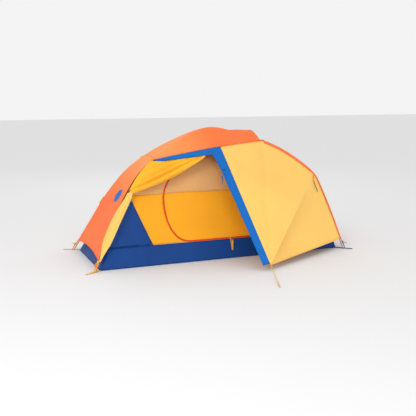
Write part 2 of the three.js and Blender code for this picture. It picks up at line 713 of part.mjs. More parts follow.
// The rolled door hangs from the seam, is tied back at the foot leg, and runs down it in a loose bundle.
const tieRow = 5;
const tiePoint = fly.ribPoint(-1, fly.footRows[tieRow]);
const neckRadius = 11; // of the bundle where it is tied
const beside = (p, by) => along(along(p, zipLeft, -by), vec(0, -1, 0), by * 0.4);
const tie = beside(tiePoint, 26);
function buildRolledDoor() {
  const hangFrom = (t) => underSeam(t, armWidthAt(t) + 9);
  const foldTop = hangFrom(0.4);
  const legLine = [...fly.footRows.slice(tieRow)].map((s) => fly.ribPoint(-1, s));
  const drape = steps(5).map((t) => {
    const upper = hangFrom(THREE.MathUtils.lerp(0.05, 0.4, t));
    const leg = mix(beside(legLine.at(-1), 6), tie, t);
    return [beside(leg, 4), mix(leg, upper, 0.5), upper];
  });
  const sheet = solid(sheetBody(drape, 6));
  const foldPoints = [0, 0.25, 0.5, 0.75, 1].map((t) => mix(foldTop, tie, t).add(vec(0, 0, -18 * 4 * t * (1 - t))));
  const legPoints = fly.footRows.slice(0, tieRow).reverse().map((s) => beside(fly.ribPoint(-1, s), 30));
  const radii = [9, 20, 24, 20, neckRadius, ...legPoints.map((_, i) => 11 + 11 * Math.sin((Math.PI * (i + 1)) / 8))];
  const bundle = solid(roll([...foldPoints, ...legPoints], radii));
  add("rolled_door", geometryOf(sheet.add(bundle)), yellow);
  return legPoints[0].clone().sub(foldPoints[3]).normalize();
}
const bundleRun = buildRolledDoor(); // the way the bundle runs where it is tied

// ---- Fly zip slider and pull, parked at the top of the straight stretch of the zip ----
const zipPark = 62; // down the straight stretch of the flap's edge
const zipLine = onFlapEdge(edgeTo).sub(onFlapEdge(edgeFrom)).normalize();
const flySlider = along(along(onFlapEdge(edgeFrom), zipLine, zipPark), zipLeft, sliderSize[1] / 2 + 2 * touch);
const flapOut = along(outward(flySlider), zipLine, -outward(flySlider).dot(zipLine)).normalize();
const flapAcross = flapOut.clone().cross(zipLine).normalize();
add("fly_zip_slider", block([16, sliderSize[1], sliderSize[2]], flySlider, zipLine, flapOut), zipMetal);
const flyPullRoot = along(along(flySlider, flapOut, sliderSize[2] / 2), zipLine, 8 + 3 * touch);
const flyPullLength = 48;
add("fly_zip_pull",
  strapBetween(flyPullRoot, along(flyPullRoot, up, -flyPullLength), 6, pullThickness, flapAcross), moulded);

// ---- Fly corner straps and their ladder locks ----
const strapWidth = 12;
const strapThickness = 1.6;
for (const c of corners) {
  const rows = c.end < 0 ? fly.footRows : fly.headRows;
  const hemCorner = fly.ribPoint(c.side, rows[0]);
  const strapFoot = along(c.tip, outward(c.tip), flyRibGap + 2);
  strapFoot.setZ(anchorThickness + touch + strapThickness / 2);
  const direction = strapFoot.clone().sub(hemCorner).normalize();
  const across = direction.clone().cross(outward(hemCorner)).normalize();
  const strapHead = along(along(hemCorner, direction, 2 * touch), outward(hemCorner), 1.5);
  const webbing = c.end < 0 ? lightWebbing : darkWebbing;
  add(`fly_strap_${c.name}`, strapBetween(strapHead, strapFoot, strapWidth, strapThickness, across), webbing);
  const frame = roundedSlab(strapWidth + 9, 8, 2);
  frame.holes.push(plainSlab(strapWidth + 2 * touch, strapThickness + 2 * touch));
  const lockAt = mix(strapHead, strapFoot, 0.3);
  const run = strapFoot.clone().sub(strapHead).normalize();
  const frameAcross = along(across, run, -across.dot(run)).normalize();
  add(`ladder_lock_${c.name}`, placed(extruded(frame, 15), lockAt, frameAcross, run), moulded);
}

// ---- Vestibule guyline and its line lock ----
const guyDirection = guyEnd.clone().sub(stakePoint).normalize();
const guyLength = guyEnd.distanceTo(stakePoint);
const lockSide = guyDirection.clone().cross(up).normalize();
const beforeStake = along(stakePoint, guyDirection, guyLead);
const guyStart = along(along(beforeStake, outward(stakePoint), guyRadius), lockSide, -guyRadius);
add("guyline", straightTube(guyStart, guyDirection, 0, guyLength, guyRadius), lightWebbing);
const lockStart = along(guyStart, guyDirection, 28);
const lockBody = solid(placed(extruded(roundedSlab(13, 9, 3), 24), lockStart, lockSide, guyDirection));
const lockHole = solid(straightTube(guyStart, guyDirection, 1, 90, guyRadius + 0.7));
add("line_lock", geometryOf(lockBody.subtract(lockHole)), moulded);

// ---- Vent hood over the head end's roof, and the strut that props it open ----
const hoodX = crownHeadX - 227;
const hoodTipX = crownHeadX - 44;
const hoodOpening = 62; // from the crown up to the brim's middle
const hoodFabric = 2.5;
const strutX = crownHeadX - 82;
const strutWidth = 14;
const strutThickness = 2;
const seat = flyFabric + touch;

// A point over the crown, by its share of the way from the middle to a rib, and its height off the fabric.
function overCrown(x, share, lift) {
  const s = stationWhere((p) => p.x, x, 0.4, 0.95);
  const p = mix(fly.ribPoint(-1, s), fly.ribPoint(1, s), (1 + share) / 2);
  return along(p, outward(p), lift);
}
const brimMiddle = overCrown(hoodTipX, 0, hoodOpening);
const hoodBack = overCrown(hoodX, 0, seat);
const hoodRows = [0, 0.34, 0.67, 1].map((t) => {
  const x = THREE.MathUtils.lerp(hoodX, crownHeadX - 4, t);
  const reach = THREE.MathUtils.lerp(0.4, 0.96, t);
  const middle = mix(hoodBack, brimMiddle, t);
  return [-1, -0.5, 0, 0.5, 1].map((share) => {
    const low = overCrown(x, share * reach, seat);
    return mix(low, middle.clone().setY(low.y), 1 - Math.abs(share) ** 1.6);
  });
});
add("vent_hood", sheetBody(hoodRows, hoodFabric), orange);
const strutFoot = overCrown(strutX, 0, seat + touch);
const strutShare = (strutFoot.x - hoodBack.x) / (brimMiddle.x - hoodBack.x);
const strutTop = strutFoot.clone().setZ(mix(hoodBack, brimMiddle, strutShare).z - 7 * touch);
add("vent_strut", strapBetween(strutFoot, strutTop, strutWidth, strutThickness, vec(0, 1, 0)), moulded);

// ---- The toggle of the rolled door's tie-back ----
const tieFace = along(outward(tie), bundleRun, -outward(tie).dot(bundleRun)).normalize();
const toggleMiddle = along(tie, tieFace, neckRadius + 3.5 + touch);
add("tieback_toggle", straightTube(toggleMiddle, bundleRun, -15, 15, 3.5), moulded);

export default tent;
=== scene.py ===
# %% [markdown]
# # A pitched backpacking tent for one
# This lesson dresses a measured frame of a tent: two crossing poles, an inner tent with a bathtub floor,
# and a rain fly whose porch door is rolled back. The frame comes first, and each piece of cloth is then
# cut to the same poles that the frame was drawn from. Lengths inside the formulas are in millimetres,
# and a mesh is made in metres.

# %% Load the frame
import math

import bmesh
import bpy
import numpy as np
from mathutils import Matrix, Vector
from mathutils.geometry import delaunay_2d_cdt


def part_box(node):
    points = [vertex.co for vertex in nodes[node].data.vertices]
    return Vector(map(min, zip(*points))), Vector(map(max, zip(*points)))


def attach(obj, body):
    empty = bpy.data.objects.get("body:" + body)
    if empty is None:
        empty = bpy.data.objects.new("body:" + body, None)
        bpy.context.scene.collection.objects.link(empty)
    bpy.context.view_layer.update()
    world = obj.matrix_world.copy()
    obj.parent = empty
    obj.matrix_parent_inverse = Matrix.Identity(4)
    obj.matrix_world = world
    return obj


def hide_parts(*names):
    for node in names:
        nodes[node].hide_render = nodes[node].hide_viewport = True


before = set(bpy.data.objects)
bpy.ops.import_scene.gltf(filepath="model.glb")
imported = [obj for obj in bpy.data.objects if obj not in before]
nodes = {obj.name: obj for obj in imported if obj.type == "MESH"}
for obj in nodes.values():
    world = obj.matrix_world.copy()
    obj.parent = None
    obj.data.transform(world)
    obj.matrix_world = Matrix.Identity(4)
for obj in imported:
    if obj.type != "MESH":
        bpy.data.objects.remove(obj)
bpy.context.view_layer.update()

# %% [markdown]
# ## Camera and light
# The tent is seen from the porch side, near the foot end, at about the height of the roof. A bright, even
# studio is a white world with three large soft lamps. The floor is a plain pale sheet.

# %% Camera
EYE = Vector((-2.202, -5.118, 1.351))
LOOK_AT = Vector((0.0092, 0.0, 0.3586))
scene = bpy.context.scene
lens_data = bpy.data.cameras.new("camera")
lens_data.lens = 55.385
lens_data.sensor_width = 36
camera = bpy.data.objects.new("camera", lens_data)
camera.location = EYE
camera.rotation_euler = (LOOK_AT - EYE).to_track_quat("-Z", "Y").to_euler()
scene.collection.objects.link(camera)
scene.camera = camera
print("camera at", tuple(round(v, 3) for v in EYE))


# %% Lamps, world and floor
def lamp(name, place, target, size, power):
    data = bpy.data.lights.new(name, "AREA")
    data.shape = "DISK"
    data.size = size
    data.energy = power
    made = bpy.data.objects.new(name, data)
    made.location = place
    made.rotation_euler = (Vector(target) - Vector(place)).to_track_quat("-Z", "Y").to_euler()
    scene.collection.objects.link(made)


lamp("key_lamp", (-3.4, -3.6, 3.4), (0, 0, 0.4), 2.0, 58)
lamp("front_lamp", (-1.2, -6.0, 1.1), (0, 0, 0.4), 2.6, 44)
lamp("back_lamp", (1.0, 4.5, 3.5), (0, 0, 0.4), 3.0, 18)
world = bpy.data.worlds.new("studio")
world.use_nodes = True
world.node_tree.nodes["Background"].inputs["Color"].default_value = (1, 1, 1, 1)
world.node_tree.nodes["Background"].inputs["Strength"].default_value = 0.9
scene.world = world
scene.view_settings.view_transform = "Standard"


def linear(hex_color):
    """A colour written as six hex digits, as the shader's linear values."""
    parts = [int(hex_color[i:i + 2], 16) / 255 for i in (0, 2, 4)]
    return tuple(c / 12.92 if c <= 0.04045 else ((c + 0.055) / 1.055) ** 2.4 for c in parts) + (1,)


floor_mesh = bpy.data.meshes.new("studio_floor")
reach = 30
floor_mesh.from_pydata([(-reach, -reach, -0.001), (reach, -reach, -0.001), (reach, reach, -0.001),
                        (-reach, reach, -0.001)], [], [(0, 1, 2, 3)])
floor = bpy.data.objects.new("studio_floor", floor_mesh)
scene.collection.objects.link(floor)
floor_finish = bpy.data.materials.new("studio_floor_paint")
floor_finish.use_nodes = True
floor_shader = floor_finish.node_tree.nodes["Principled BSDF"]
floor_shader.inputs["Base Color"].default_value = linear("e9e9ea")
floor_shader.inputs["Roughness"].default_value = 0.9
floor_mesh.materials.append(floor_finish)
print("studio ready")

# %% [markdown]
# ## Finishes
# Tent cloth is a thin coated polyester. Close up it shows a fine plain weave crossed by thicker ripstop
# threads, from further off it shows a faint unevenness and soft creases, and it has a light sheen. One
# function makes them all: the weave follows the cloth through its UV map, which is in metres, and the
# slow changes follow the place on the tent. Webbing, anodised tube and moulded plastic get their own.


# %% Small node helpers
class Finish:
    """A material under construction, with its shader at hand."""

    def __init__(self, name, color, roughness, metallic=0.0, sheen=0.0):
        self.material = bpy.data.materials.new(name)
        self.material.use_nodes = True
        self.tree = self.material.node_tree
        self.shader = self.tree.nodes["Principled BSDF"]
        self.shader.inputs["Base Color"].default_value = linear(color)
        self.shader.inputs["Roughness"].default_value = roughness
        self.shader.inputs["Metallic"].default_value = metallic
        self.shader.inputs["Sheen Weight"].default_value = sheen
        self.shader.inputs["Sheen Roughness"].default_value = 0.4
        self.shader.inputs["Specular IOR Level"].default_value = 0.5 if metallic or roughness < 0.5 else 0.22
        self.material.diffuse_color = linear(color)

    def node(self, kind, **values):
        made = self.tree.nodes.new(kind)
        for key, value in values.items():
            if key in made.inputs.keys():
                made.inputs[key].default_value = value
            else:
                setattr(made, key, value)
        return made

    def link(self, start, end):
        self.tree.links.new(start, end)

    def math(self, operation, first, second=None):
        made = self.tree.nodes.new("ShaderNodeMath")
        made.operation = operation
        for socket, value in zip(made.inputs, (first, second)):
            if isinstance(value, (int, float)):
                socket.default_value = value
            elif value is not None:
                self.link(value, socket)
        return made.outputs[0]

    def shade(self, color, factor, low, high):
        """Base colour that runs from low to high times the finish's colour as factor goes from 0 to 1."""
        base = linear(color)
        ramp = self.tree.nodes.new("ShaderNodeValToRGB")
        ends = [(tuple(min(c * k, 1) for c in base[:3]) + (1,)) for k in (low, high)]
        ramp.color_ramp.elements[0].color = ends[0]
        ramp.color_ramp.elements[1].color = ends[1]
        ramp.color_ramp.elements[0].position = 0.25
        ramp.color_ramp.elements[1].position = 0.75
        self.link(factor, ramp.inputs[0])
        self.link(ramp.outputs[0], self.shader.inputs["Base Color"])

    def bump(self, height, strength, distance, under=None):
        made = self.node("ShaderNodeBump", Strength=strength, Distance=distance)
        self.link(height, made.inputs["Height"])
        if under is not None:
            self.link(under, made.inputs["Normal"])
        self.link(made.outputs[0], self.shader.inputs["Normal"])
        return made.outputs[0]


def noise(finish, scale, detail=3.0, source="Object", stretch=(1, 1, 1)):
    place = finish.node("ShaderNodeTexCoord")
    sizing = finish.node("ShaderNodeMapping", Scale=stretch)
    made = finish.node("ShaderNodeTexNoise", Scale=scale, Detail=detail)
    finish.link(place.outputs[source], sizing.inputs["Vector"])
    finish.link(sizing.outputs[0], made.inputs["Vector"])
    return made.outputs[0]


# %% Tent cloth
RIPSTOP = 0.006  # metres between the thicker threads
THREAD = 0.0007


def weave(finish, u, v):
    """Height of the cloth: fine threads both ways, with a ridge at every ripstop thread."""
    fine = [finish.math("SINE", finish.math("MULTIPLY", axis, 2 * math.pi / THREAD)) for axis in (u, v)]
    fine_height = finish.math("MULTIPLY", finish.math("MULTIPLY", fine[0], fine[1]), 0.25)
    ridges = []
    for axis in (u, v):
        wave = finish.math("SINE", finish.math("MULTIPLY", axis, 2 * math.pi / RIPSTOP))
        ridges.append(finish.math("POWER", finish.math("ABSOLUTE", wave), 14.0))
    return finish.math("ADD", fine_height, finish.math("MAXIMUM", ridges[0], ridges[1]))


# Sizes of the painted light on the orange fly cloth: where it starts, how fast it grows up and towards the
# foot, and its most
LIGHT_ABOVE, LIGHT_RISE, LIGHT_FOOTWARD, LIGHT_MOST = 0.5, 2.2, 1.7, 0.8  # metres, shares per metre, and a share


def painted_light_towards_foot(finish, color):
    """Painted light: mixes in a paler colour, more of it with height and towards the foot, where light shines
    through the cloth.
    """
    place = finish.node("ShaderNodeTexCoord")
    parts = finish.node("ShaderNodeSeparateXYZ")
    finish.link(place.outputs["Object"], parts.inputs[0])
    height = finish.math("MULTIPLY", finish.math("SUBTRACT", parts.outputs[2], LIGHT_ABOVE), LIGHT_RISE)
    footward = finish.math("MULTIPLY", finish.math("SUBTRACT", 0.0, parts.outputs[0]), LIGHT_FOOTWARD)
    share = finish.math("MULTIPLY", finish.math("MINIMUM", finish.math("MAXIMUM", height, 0.0), 1.0),
                        finish.math("MINIMUM", finish.math("MAXIMUM", footward, 0.0), 1.0))
    mix = finish.node("ShaderNodeMix")
    mix.data_type = "RGBA"
    socket = finish.shader.inputs["Base Color"]
    finish.link(socket.links[0].from_socket, mix.inputs[6])
    mix.inputs[7].default_value = linear(color)
    finish.link(finish.math("MULTIPLY", share, LIGHT_MOST), mix.inputs[0])
    finish.link(mix.outputs[2], socket)


def cloth(name, color, roughness=0.62, sheen=0.03, low=0.93, high=1.05, crease=0.5,
          painted_light_color=None):
    finish = Finish(name, color, roughness, sheen=sheen)
    uv = finish.node("ShaderNodeUVMap")
    split = finish.node("ShaderNodeSeparateXYZ")
    finish.link(uv.outputs[0], split.inputs[0])
    slow = noise(finish, 2.2, 4.0)
    finish.shade(color, slow, low, high)
    if painted_light_color:
        painted_light_towards_foot(finish, painted_light_color)
    creases = noise(finish, 9.0, 5.0, stretch=(1.0, 1.0, 0.55))
    large = finish.bump(creases, crease, 0.006)
    threads = weave(finish, split.outputs[0], split.outputs[1])
    finish.bump(threads, 0.25, 0.00025, under=large)
    rough = finish.node("ShaderNodeMapRange")
    finish.link(slow, rough.inputs["Value"])
    rough.inputs["To Min"].default_value = roughness - 0.07
    rough.inputs["To Max"].default_value = roughness + 0.07
    finish.link(rough.outputs[0], finish.shader.inputs["Roughness"])
    return finish.material


# The orange fly cloth carries painted light: paler up high and towards the foot, where light shines through
# the cloth.
fly_orange = cloth("fly_orange_cloth", "fd7338", low=0.92, high=1.14, painted_light_color="fdae62")
fly_yellow = cloth("fly_yellow_cloth", "ffca6a", low=0.9, crease=0.8)
door_yellow = cloth("door_yellow_cloth", "ffb62a", low=0.9, high=1.06, crease=0.9)
flap_blue = cloth("flap_blue_cloth", "0268bc", low=0.84, high=1.12, crease=1.0)
inner_amber = cloth("inner_amber_cloth", "fbaa1c", crease=0.6)
floor_navy = cloth("floor_navy_cloth", "063f86", roughness=0.5, low=0.88, high=1.12, crease=0.8)
print("cloths made")


# %% Netting
NET_HOLE = 0.0016


def netting(name, color, alpha):
    """Fine knitted net: see-through holes in staggered rows between the yarns."""
    finish = Finish(name, color, 0.8, sheen=0.03)
    uv = finish.node("ShaderNodeUVMap")
    split = finish.node("ShaderNodeSeparateXYZ")
    finish.link(uv.outputs[0], split.inputs[0])
    turn = 2 * math.pi / NET_HOLE
    across = finish.math("MULTIPLY", split.outputs[0], turn)
    down = finish.math("MULTIPLY", split.outputs[1], turn * 0.6)
    holes = finish.math("MULTIPLY", finish.math("SINE", across), finish.math("SINE", down))
    cover = finish.node("ShaderNodeMapRange")
    finish.link(finish.math("ABSOLUTE", holes), cover.inputs["Value"])
    cover.inputs["From Max"].default_value = 0.9
    cover.inputs["To Min"].default_value = min(alpha + 0.15, 1)
    cover.inputs["To Max"].default_value = alpha - 0.2
    finish.link(cover.outputs[0], finish.shader.inputs["Alpha"])
    slow = noise(finish, 3.0, 3.0)
    finish.shade(color, slow, 0.94, 1.05)
    finish.bump(holes, 0.3, 0.0003)
    return finish.material


inner_mesh = netting("inner_netting", "efb676", 0.85)


# %% Webbing, cord, tube, plastic, metal
def webbing(name, color, rib=0.0022):
    """A woven strap: ribs across it, painted shade that darkens the weave between them, and a fine grain."""
    finish = Finish(name, color, 0.82, sheen=0.05)
    place = finish.node("ShaderNodeTexCoord")
    wave = finish.node("ShaderNodeTexWave", Scale=1 / rib / 3.2, Distortion=0.6)
    finish.link(place.outputs["Object"], wave.inputs["Vector"])
    grain = noise(finish, 260.0, 2.0)
    # The colour follows the ribs' height: painted shade in the grooves between them, plus a fine random
    # grain.
    mixed = finish.math("ADD", finish.math("MULTIPLY", wave.outputs["Fac"], 0.6),
                        finish.math("MULTIPLY", grain, 0.4))
    finish.shade(color, mixed, 0.72, 1.12)
    finish.bump(mixed, 0.6, 0.0004)
    return finish.material


def hard(name, color, roughness, metallic=0.0, grain=90.0, strength=0.12, low=0.9, high=1.08):
    """Moulded plastic or metal: a fine surface grain, and wear that dulls it in patches."""
    finish = Finish(name, color, roughness, metallic=metallic)
    slow = noise(finish, 14.0, 4.0)
    finish.shade(color, slow, low, high)
    finish.bump(noise(finish, grain * 10, 2.0), strength, 0.0003)
    rough = finish.node("ShaderNodeMapRange")
    finish.link(noise(finish, grain, 4.0), rough.inputs["Value"])
    rough.inputs["To Min"].default_value = roughness * 0.75
    rough.inputs["To Max"].default_value = min(roughness * 1.35, 1)
    finish.link(rough.outputs[0], finish.shader.inputs["Roughness"])
    return finish.material


webbing_light = webbing("light_webbing", "f6b548")
webbing_dark = webbing("dark_webbing", "22345c")
guy_cord = webbing("guy_cord_braid", "f6b64a", rib=0.0016)
dark_cord = webbing("dark_cord_braid", "33415f", rib=0.0012)
shock_cord = webbing("shock_cord_braid", "efede4", rib=0.001)
stitch_thread = hard("stitch_thread", "f3a23c", 0.7)
pole_aluminium = hard("anodised_tube", "e6862c", 0.32, 0.9, strength=0.05)
moulded_plastic = hard("moulded_plastic", "f0a035", 0.45)
buckle_dark = hard("dark_moulded_plastic", "26375f", 0.45)
line_lock_plastic = hard("line_lock_plastic", "d9ac4e", 0.42)
toggle_red = hard("toggle_plastic", "8c2f22", 0.4)
zip_metal = hard("slider_metal", "b9bcc2", 0.35, 0.9, strength=0.05)
zip_red = webbing("door_zip_tape", "ea4a20", rib=0.0012)
zip_tooth = hard("door_zip_teeth", "e2431c", 0.42)
zip_blue = webbing("porch_zip_tape", "0f5fb4", rib=0.0012)
print("finishes made:", len(bpy.data.materials))

# %% [markdown]
# ## The line of the poles
# Everything hangs from two identical arches that cross over the roof. An arch is one smooth curve through
# a few measured points. A canopy, the fly or the inner tent, is that curve moved out or in by a set gap,
# so the two tents and the poles can never drift apart.

# %% The arch
FLOOR_LENGTH, FOOT_WIDTH, HEAD_WIDTH, TUB_HEIGHT = 2130, 760, 910, 150
CROSSING_X, CROSSING_HEIGHT, POLE_SPACING, POLE_RADIUS = 25, 1046, 11.5, 4.5
FOOT_TIP = np.array([-1105.45, 399.73, 1.9])
HEAD_TIP = np.array([1103.89, -493.89, 1.9])
FOOT_ARC = [(0.113, 0.745, 247), (0.246, 0.57, 506), (0.41, 0.393, 732), (0.708, 0.195, -102)]
HEAD_ARC = [(0.714, 0.208, -64), (0.498, 0.377, -153), (0.315, 0.528, -282), (0.184, 0.585, 642),
            (0.144, 0.617, 560), (0.065, 0.727, 331)]


def smooth_curve(points, samples=2001):
    """A centripetal curve through the points, as a table with equal steps of length."""
    p = np.array([2 * points[0] - points[1], *points, 2 * points[-1] - points[-2]])
    made = []
    for i in range(1, len(p) - 2):
        x0, x1, x2, x3 = p[i - 1:i + 3]
        d0, d1, d2 = [max(np.linalg.norm(b - a), 1e-6) ** 0.5 for a, b in ((x0, x1), (x1, x2), (x2, x3))]
        m1 = ((x1 - x0) / d0 - (x2 - x0) / (d0 + d1) + (x2 - x1) / d1) * d1
        m2 = ((x2 - x1) / d1 - (x3 - x1) / (d1 + d2) + (x3 - x2) / d2) * d1
        t = np.linspace(0, 1, 200, endpoint=False)[:, None]
        made.append(x1 + m1 * t + (-3 * x1 + 3 * x2 - 2 * m1 - m2) * t ** 2
                    + (2 * x1 - 2 * x2 + m1 + m2) * t ** 3)
    made = np.vstack(made + [p[-2:-1]])
    far = np.concatenate([[0], np.cumsum(np.linalg.norm(np.diff(made, axis=0), axis=1))])
    even = np.linspace(0, far[-1], samples)
    return np.stack([np.interp(even, far, made[:, k]) for k in range(3)], axis=1), far[-1]


def shares(count):
    """Even steps from 0 to 1."""
    return np.linspace(0, 1, count)


def arch(lift):
    """A pole's curve as a table of points, and its length. The lift raises it at the crossing."""
    def row(tip, inward, share, height):
        z = CROSSING_HEIGHT + height if height < 0 else height
        return np.array([tip[0] + (CROSSING_X - tip[0]) * inward, tip[1] * share, z])
    points = [FOOT_TIP, *[row(FOOT_TIP, *r) for r in FOOT_ARC],
              np.array([CROSSING_X, 0, CROSSING_HEIGHT + lift]),
              *[row(HEAD_TIP, *r) for r in HEAD_ARC], HEAD_TIP]
    return smooth_curve(points)


ROOF, ROOF_LENGTH = arch(POLE_SPACING / 2)
print("arch length", round(ROOF_LENGTH), "mm")


# %% Places along the arch, and which way is out
def at(table, s):
    """Points of a table at shares s of its length."""
    places = shares(len(table))
    return np.stack([np.interp(s, places, table[:, k]) for k in range(3)], axis=-1)


DOME = np.array([1100.0, 700.0, 1050.0])  # half sizes of a smooth dome about as big as the tent


def outward(p):
    """The way out of the tent at p, square to the dome."""
    n = np.asarray(p) / DOME ** 2
    return n / np.linalg.norm(n, axis=-1, keepdims=True)


def unit(v):
    """The same directions, each with length 1."""
    return v / np.linalg.norm(v, axis=-1, keepdims=True)


def station_where(measure, value, low, high):
    """The share of the arch, from low to high, where a measure reaches a value."""
    s = np.linspace(low, high, 4001)
    m = measure(at(ROOF, s))
    return float(np.interp(value, m, s) if m[-1] > m[0] else np.interp(value, m[::-1], s[::-1]))


# %% A canopy over the arches
class Canopy:
    """The cloth at a set gap from the poles: its ribs, its roof seams and its panels."""

    def __init__(self, gap, hem, foot_x, head_x, bow_out, bow_up, drop=38, least=16):
        self.gap, self.least, self.bow_out, self.bow_up = gap, least, bow_out, bow_up

        def height(p):
            return (p + outward(p) * gap)[..., 2]
        self.foot_hem = station_where(height, hem, 0.001, 0.2)
        self.head_hem = station_where(height, hem, 0.8, 0.999)
        self.foot_end = station_where(lambda p: p[..., 0], foot_x, 0.1, 0.6)
        self.head_end = station_where(lambda p: p[..., 0], head_x, 0.4, 0.9)
        self.foot_seam = self.foot_end - drop / ROOF_LENGTH
        self.head_seam = self.head_end + drop / ROOF_LENGTH

    def rib(self, side, s, lift=0.0):
        """The cloth over a pole at shares s of the arch, in front (-1) or behind (1)."""
        p = at(ROOF, s)
        p[..., 1] = side * np.abs(p[..., 1])
        p = p + outward(p) * (self.gap + lift)
        p[..., 1] = side * np.maximum(np.abs(p[..., 1]), self.least)
        return p

    def seam(self, side, t):
        """The seam between the roof and a side panel, at shares t from foot to head."""
        t = np.asarray(t, float)[..., None]
        a, b = self.rib(side, self.foot_seam), self.rib(side, self.head_seam)
        bow = 4 * t * (1 - t)
        return a + (b - a) * t + bow * np.array([0, side * self.bow_out, self.bow_up])

    def side(self, side, t, v, bow=0.0):
        """A side panel at shares t, from foot to head, and v, from hem to seam."""
        t, v = [np.asarray(x, float) for x in (t, v)]
        left = self.rib(side, self.foot_hem + (self.foot_seam - self.foot_hem) * v)
        right = self.rib(side, self.head_hem + (self.head_seam - self.head_hem) * v)
        low_left, low_right = self.rib(side, self.foot_hem), self.rib(side, self.head_hem)
        t3, v3 = t[..., None], v[..., None]
        low = low_left + (low_right - low_left) * t3
        high = self.seam(side, 0) + (self.seam(side, 1) - self.seam(side, 0)) * t3
        bottom = low + 4 * t3 * (1 - t3) * np.array([0, side * bow, 0])
        return (left + (right - left) * t3 + bottom + (self.seam(side, t) - bottom) * v3
                - low - (high - low) * v3)

    def end(self, at_foot, w, v, rise=0.0):
        """An end panel at shares w, from the front leg to the back one, and v, from hem to roof."""
        w, v = [np.asarray(x, float) for x in (w, v)]
        hem, top = (self.foot_hem, self.foot_end) if at_foot else (self.head_hem, self.head_end)
        turn = 1 if at_foot else -1
        s = hem + (top - hem) * v + turn * 4 * w * (1 - w) * rise / ROOF_LENGTH * (1 - v) ** 4
        front, back = self.rib(-1, s), self.rib(1, s)
        return front + (back - front) * w[..., None]


fly = Canopy(15.5, 82, -520, 432, 100, 28)
inner = Canopy(-44, TUB_HEIGHT + 0.4, -470, 382, 0, 0)
print("fly hem stations", round(fly.foot_hem, 4), round(fly.head_hem, 4))

# %% [markdown]
# ## From a grid of points to a piece of cloth
# A panel is a grid of points on its surface. It becomes a mesh with a UV map in metres, so that the weave
# keeps its real size, and Solidify gives it the thickness of cloth. A taut panel still isn't a perfect
# surface: it sags a little between its seams, and shallow pulls run across it. Those are added along the
# outward direction and die away at the seams, so neighbours still meet.

# %% Meshes
CLOTH = 0.0011  # metres thick


def new_piece(name, verts, faces, material, uvs=None, smooth=True):
    """A mesh object from points in millimetres."""
    mesh = bpy.data.meshes.new(name)
    mesh.from_pydata([tuple(v) for v in np.asarray(verts) / 1000], [], [tuple(map(int, f)) for f in faces])
    if uvs is not None:
        layer = mesh.uv_layers.new(name="UVMap")
        corner = np.empty(len(mesh.loops), np.int64)
        mesh.loops.foreach_get("vertex_index", corner)
        layer.data.foreach_set("uv", np.asarray(uvs, float)[corner].ravel())
    mesh.materials.append(material)
    mesh.polygons.foreach_set("use_smooth", [smooth] * len(mesh.polygons))
    piece = bpy.data.objects.new(name, mesh)
    scene.collection.objects.link(piece)
    return piece


def grid_faces(rows, columns, closed=False):
    """The faces of a grid of points, which may close round on itself."""
    around = columns if closed else columns - 1
    return [(i * columns + j, i * columns + (j + 1) % columns, (i + 1) * columns + (j + 1) % columns,
             (i + 1) * columns + j) for i in range(rows - 1) for j in range(around)]


def cloth_uv(P):
    """A UV map in metres, from the cloth's own lengths across and up."""
    along_rows = np.linalg.norm(np.diff(P, axis=1), axis=2)
    along_columns = np.linalg.norm(np.diff(P, axis=0), axis=2)
    u = np.concatenate([np.zeros((len(P), 1)), np.cumsum(along_rows, axis=1)], axis=1)
    v = np.concatenate([np.zeros((1, P.shape[1])), np.cumsum(along_columns, axis=0)], axis=0)
    u = u - u[:, -1:] / 2
    v = np.broadcast_to(v.mean(axis=1, keepdims=True), u.shape)
    return np.stack([u, v], axis=-1).reshape(-1, 2) / 1000


def cut_size(P):
    """Width, length and area of the flat cut of a panel, in metres."""
    rows = np.linalg.norm(np.diff(P, axis=1), axis=2).sum(axis=1).max()
    columns = np.linalg.norm(np.diff(P, axis=0), axis=2).sum(axis=0).max()
    a, b, c, d = P[:-1, :-1], P[:-1, 1:], P[1:, 1:], P[1:, :-1]
    halves = [np.linalg.norm(np.cross(p, q), axis=2) for p, q in ((b - a, c - a), (c - a, d - a))]
    area = (halves[0] + halves[1]) / 2
    return rows / 1000, columns / 1000, float(area.sum()) / 1e6


def pulls(u, v, amount, count=3.0, lean=0.5, phase=0.0):
    """Shallow folds of a taut panel, in millimetres, that fade out at its edges."""
    fade = (np.clip(4 * u * (1 - u), 0, 1) ** 0.6) * (np.clip(4 * v * (1 - v), 0, 1) ** 0.6)
    slow = np.sin(2 * math.pi * (count * (u + lean * v)) + phase)
    fast = np.sin(2 * math.pi * (2.3 * count * (v - 0.4 * u)) + 1.7 + phase) * 0.4
    return amount * fade * (slow + fast)


def thicken(piece, thickness=CLOTH):
    """Gives a sheet its thickness, in metres."""
    made = piece.modifiers.new("cloth thickness", "SOLIDIFY")
    made.thickness = thickness
    made.offset = 0
    return piece


def put(piece, body, replaces=()):
    """Puts a piece on the body it rides on, and hides the frame parts it stands for."""
    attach(piece, body)
    if replaces:
        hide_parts(*replaces)
    return piece


LEAST_FILL, NARROWED_FILL = 0.35, 0.5  # shares of width times length


def sheet_piece(name, P, material, replaces=(), body="tent", flat=None):
    """A panel from its grid, thickened and placed on its body."""
    piece = new_piece(name, P.reshape(-1, 3), grid_faces(*P.shape[:2]), material, cloth_uv(P))
    thicken(piece)
    put(piece, body, replaces)
    w, l, area = flat or cut_size(P)
    if area < LEAST_FILL * w * l:  # the width given below is then less than the cut's own width
        w = area / (NARROWED_FILL * l)
    print(name, "cut", round(w, 3), "x", round(l, 3), "m")
    return piece


def grid(columns, rows):
    """Shares across and up a panel: one row of the grid for each step up."""
    return np.meshgrid(shares(columns), shares(rows))


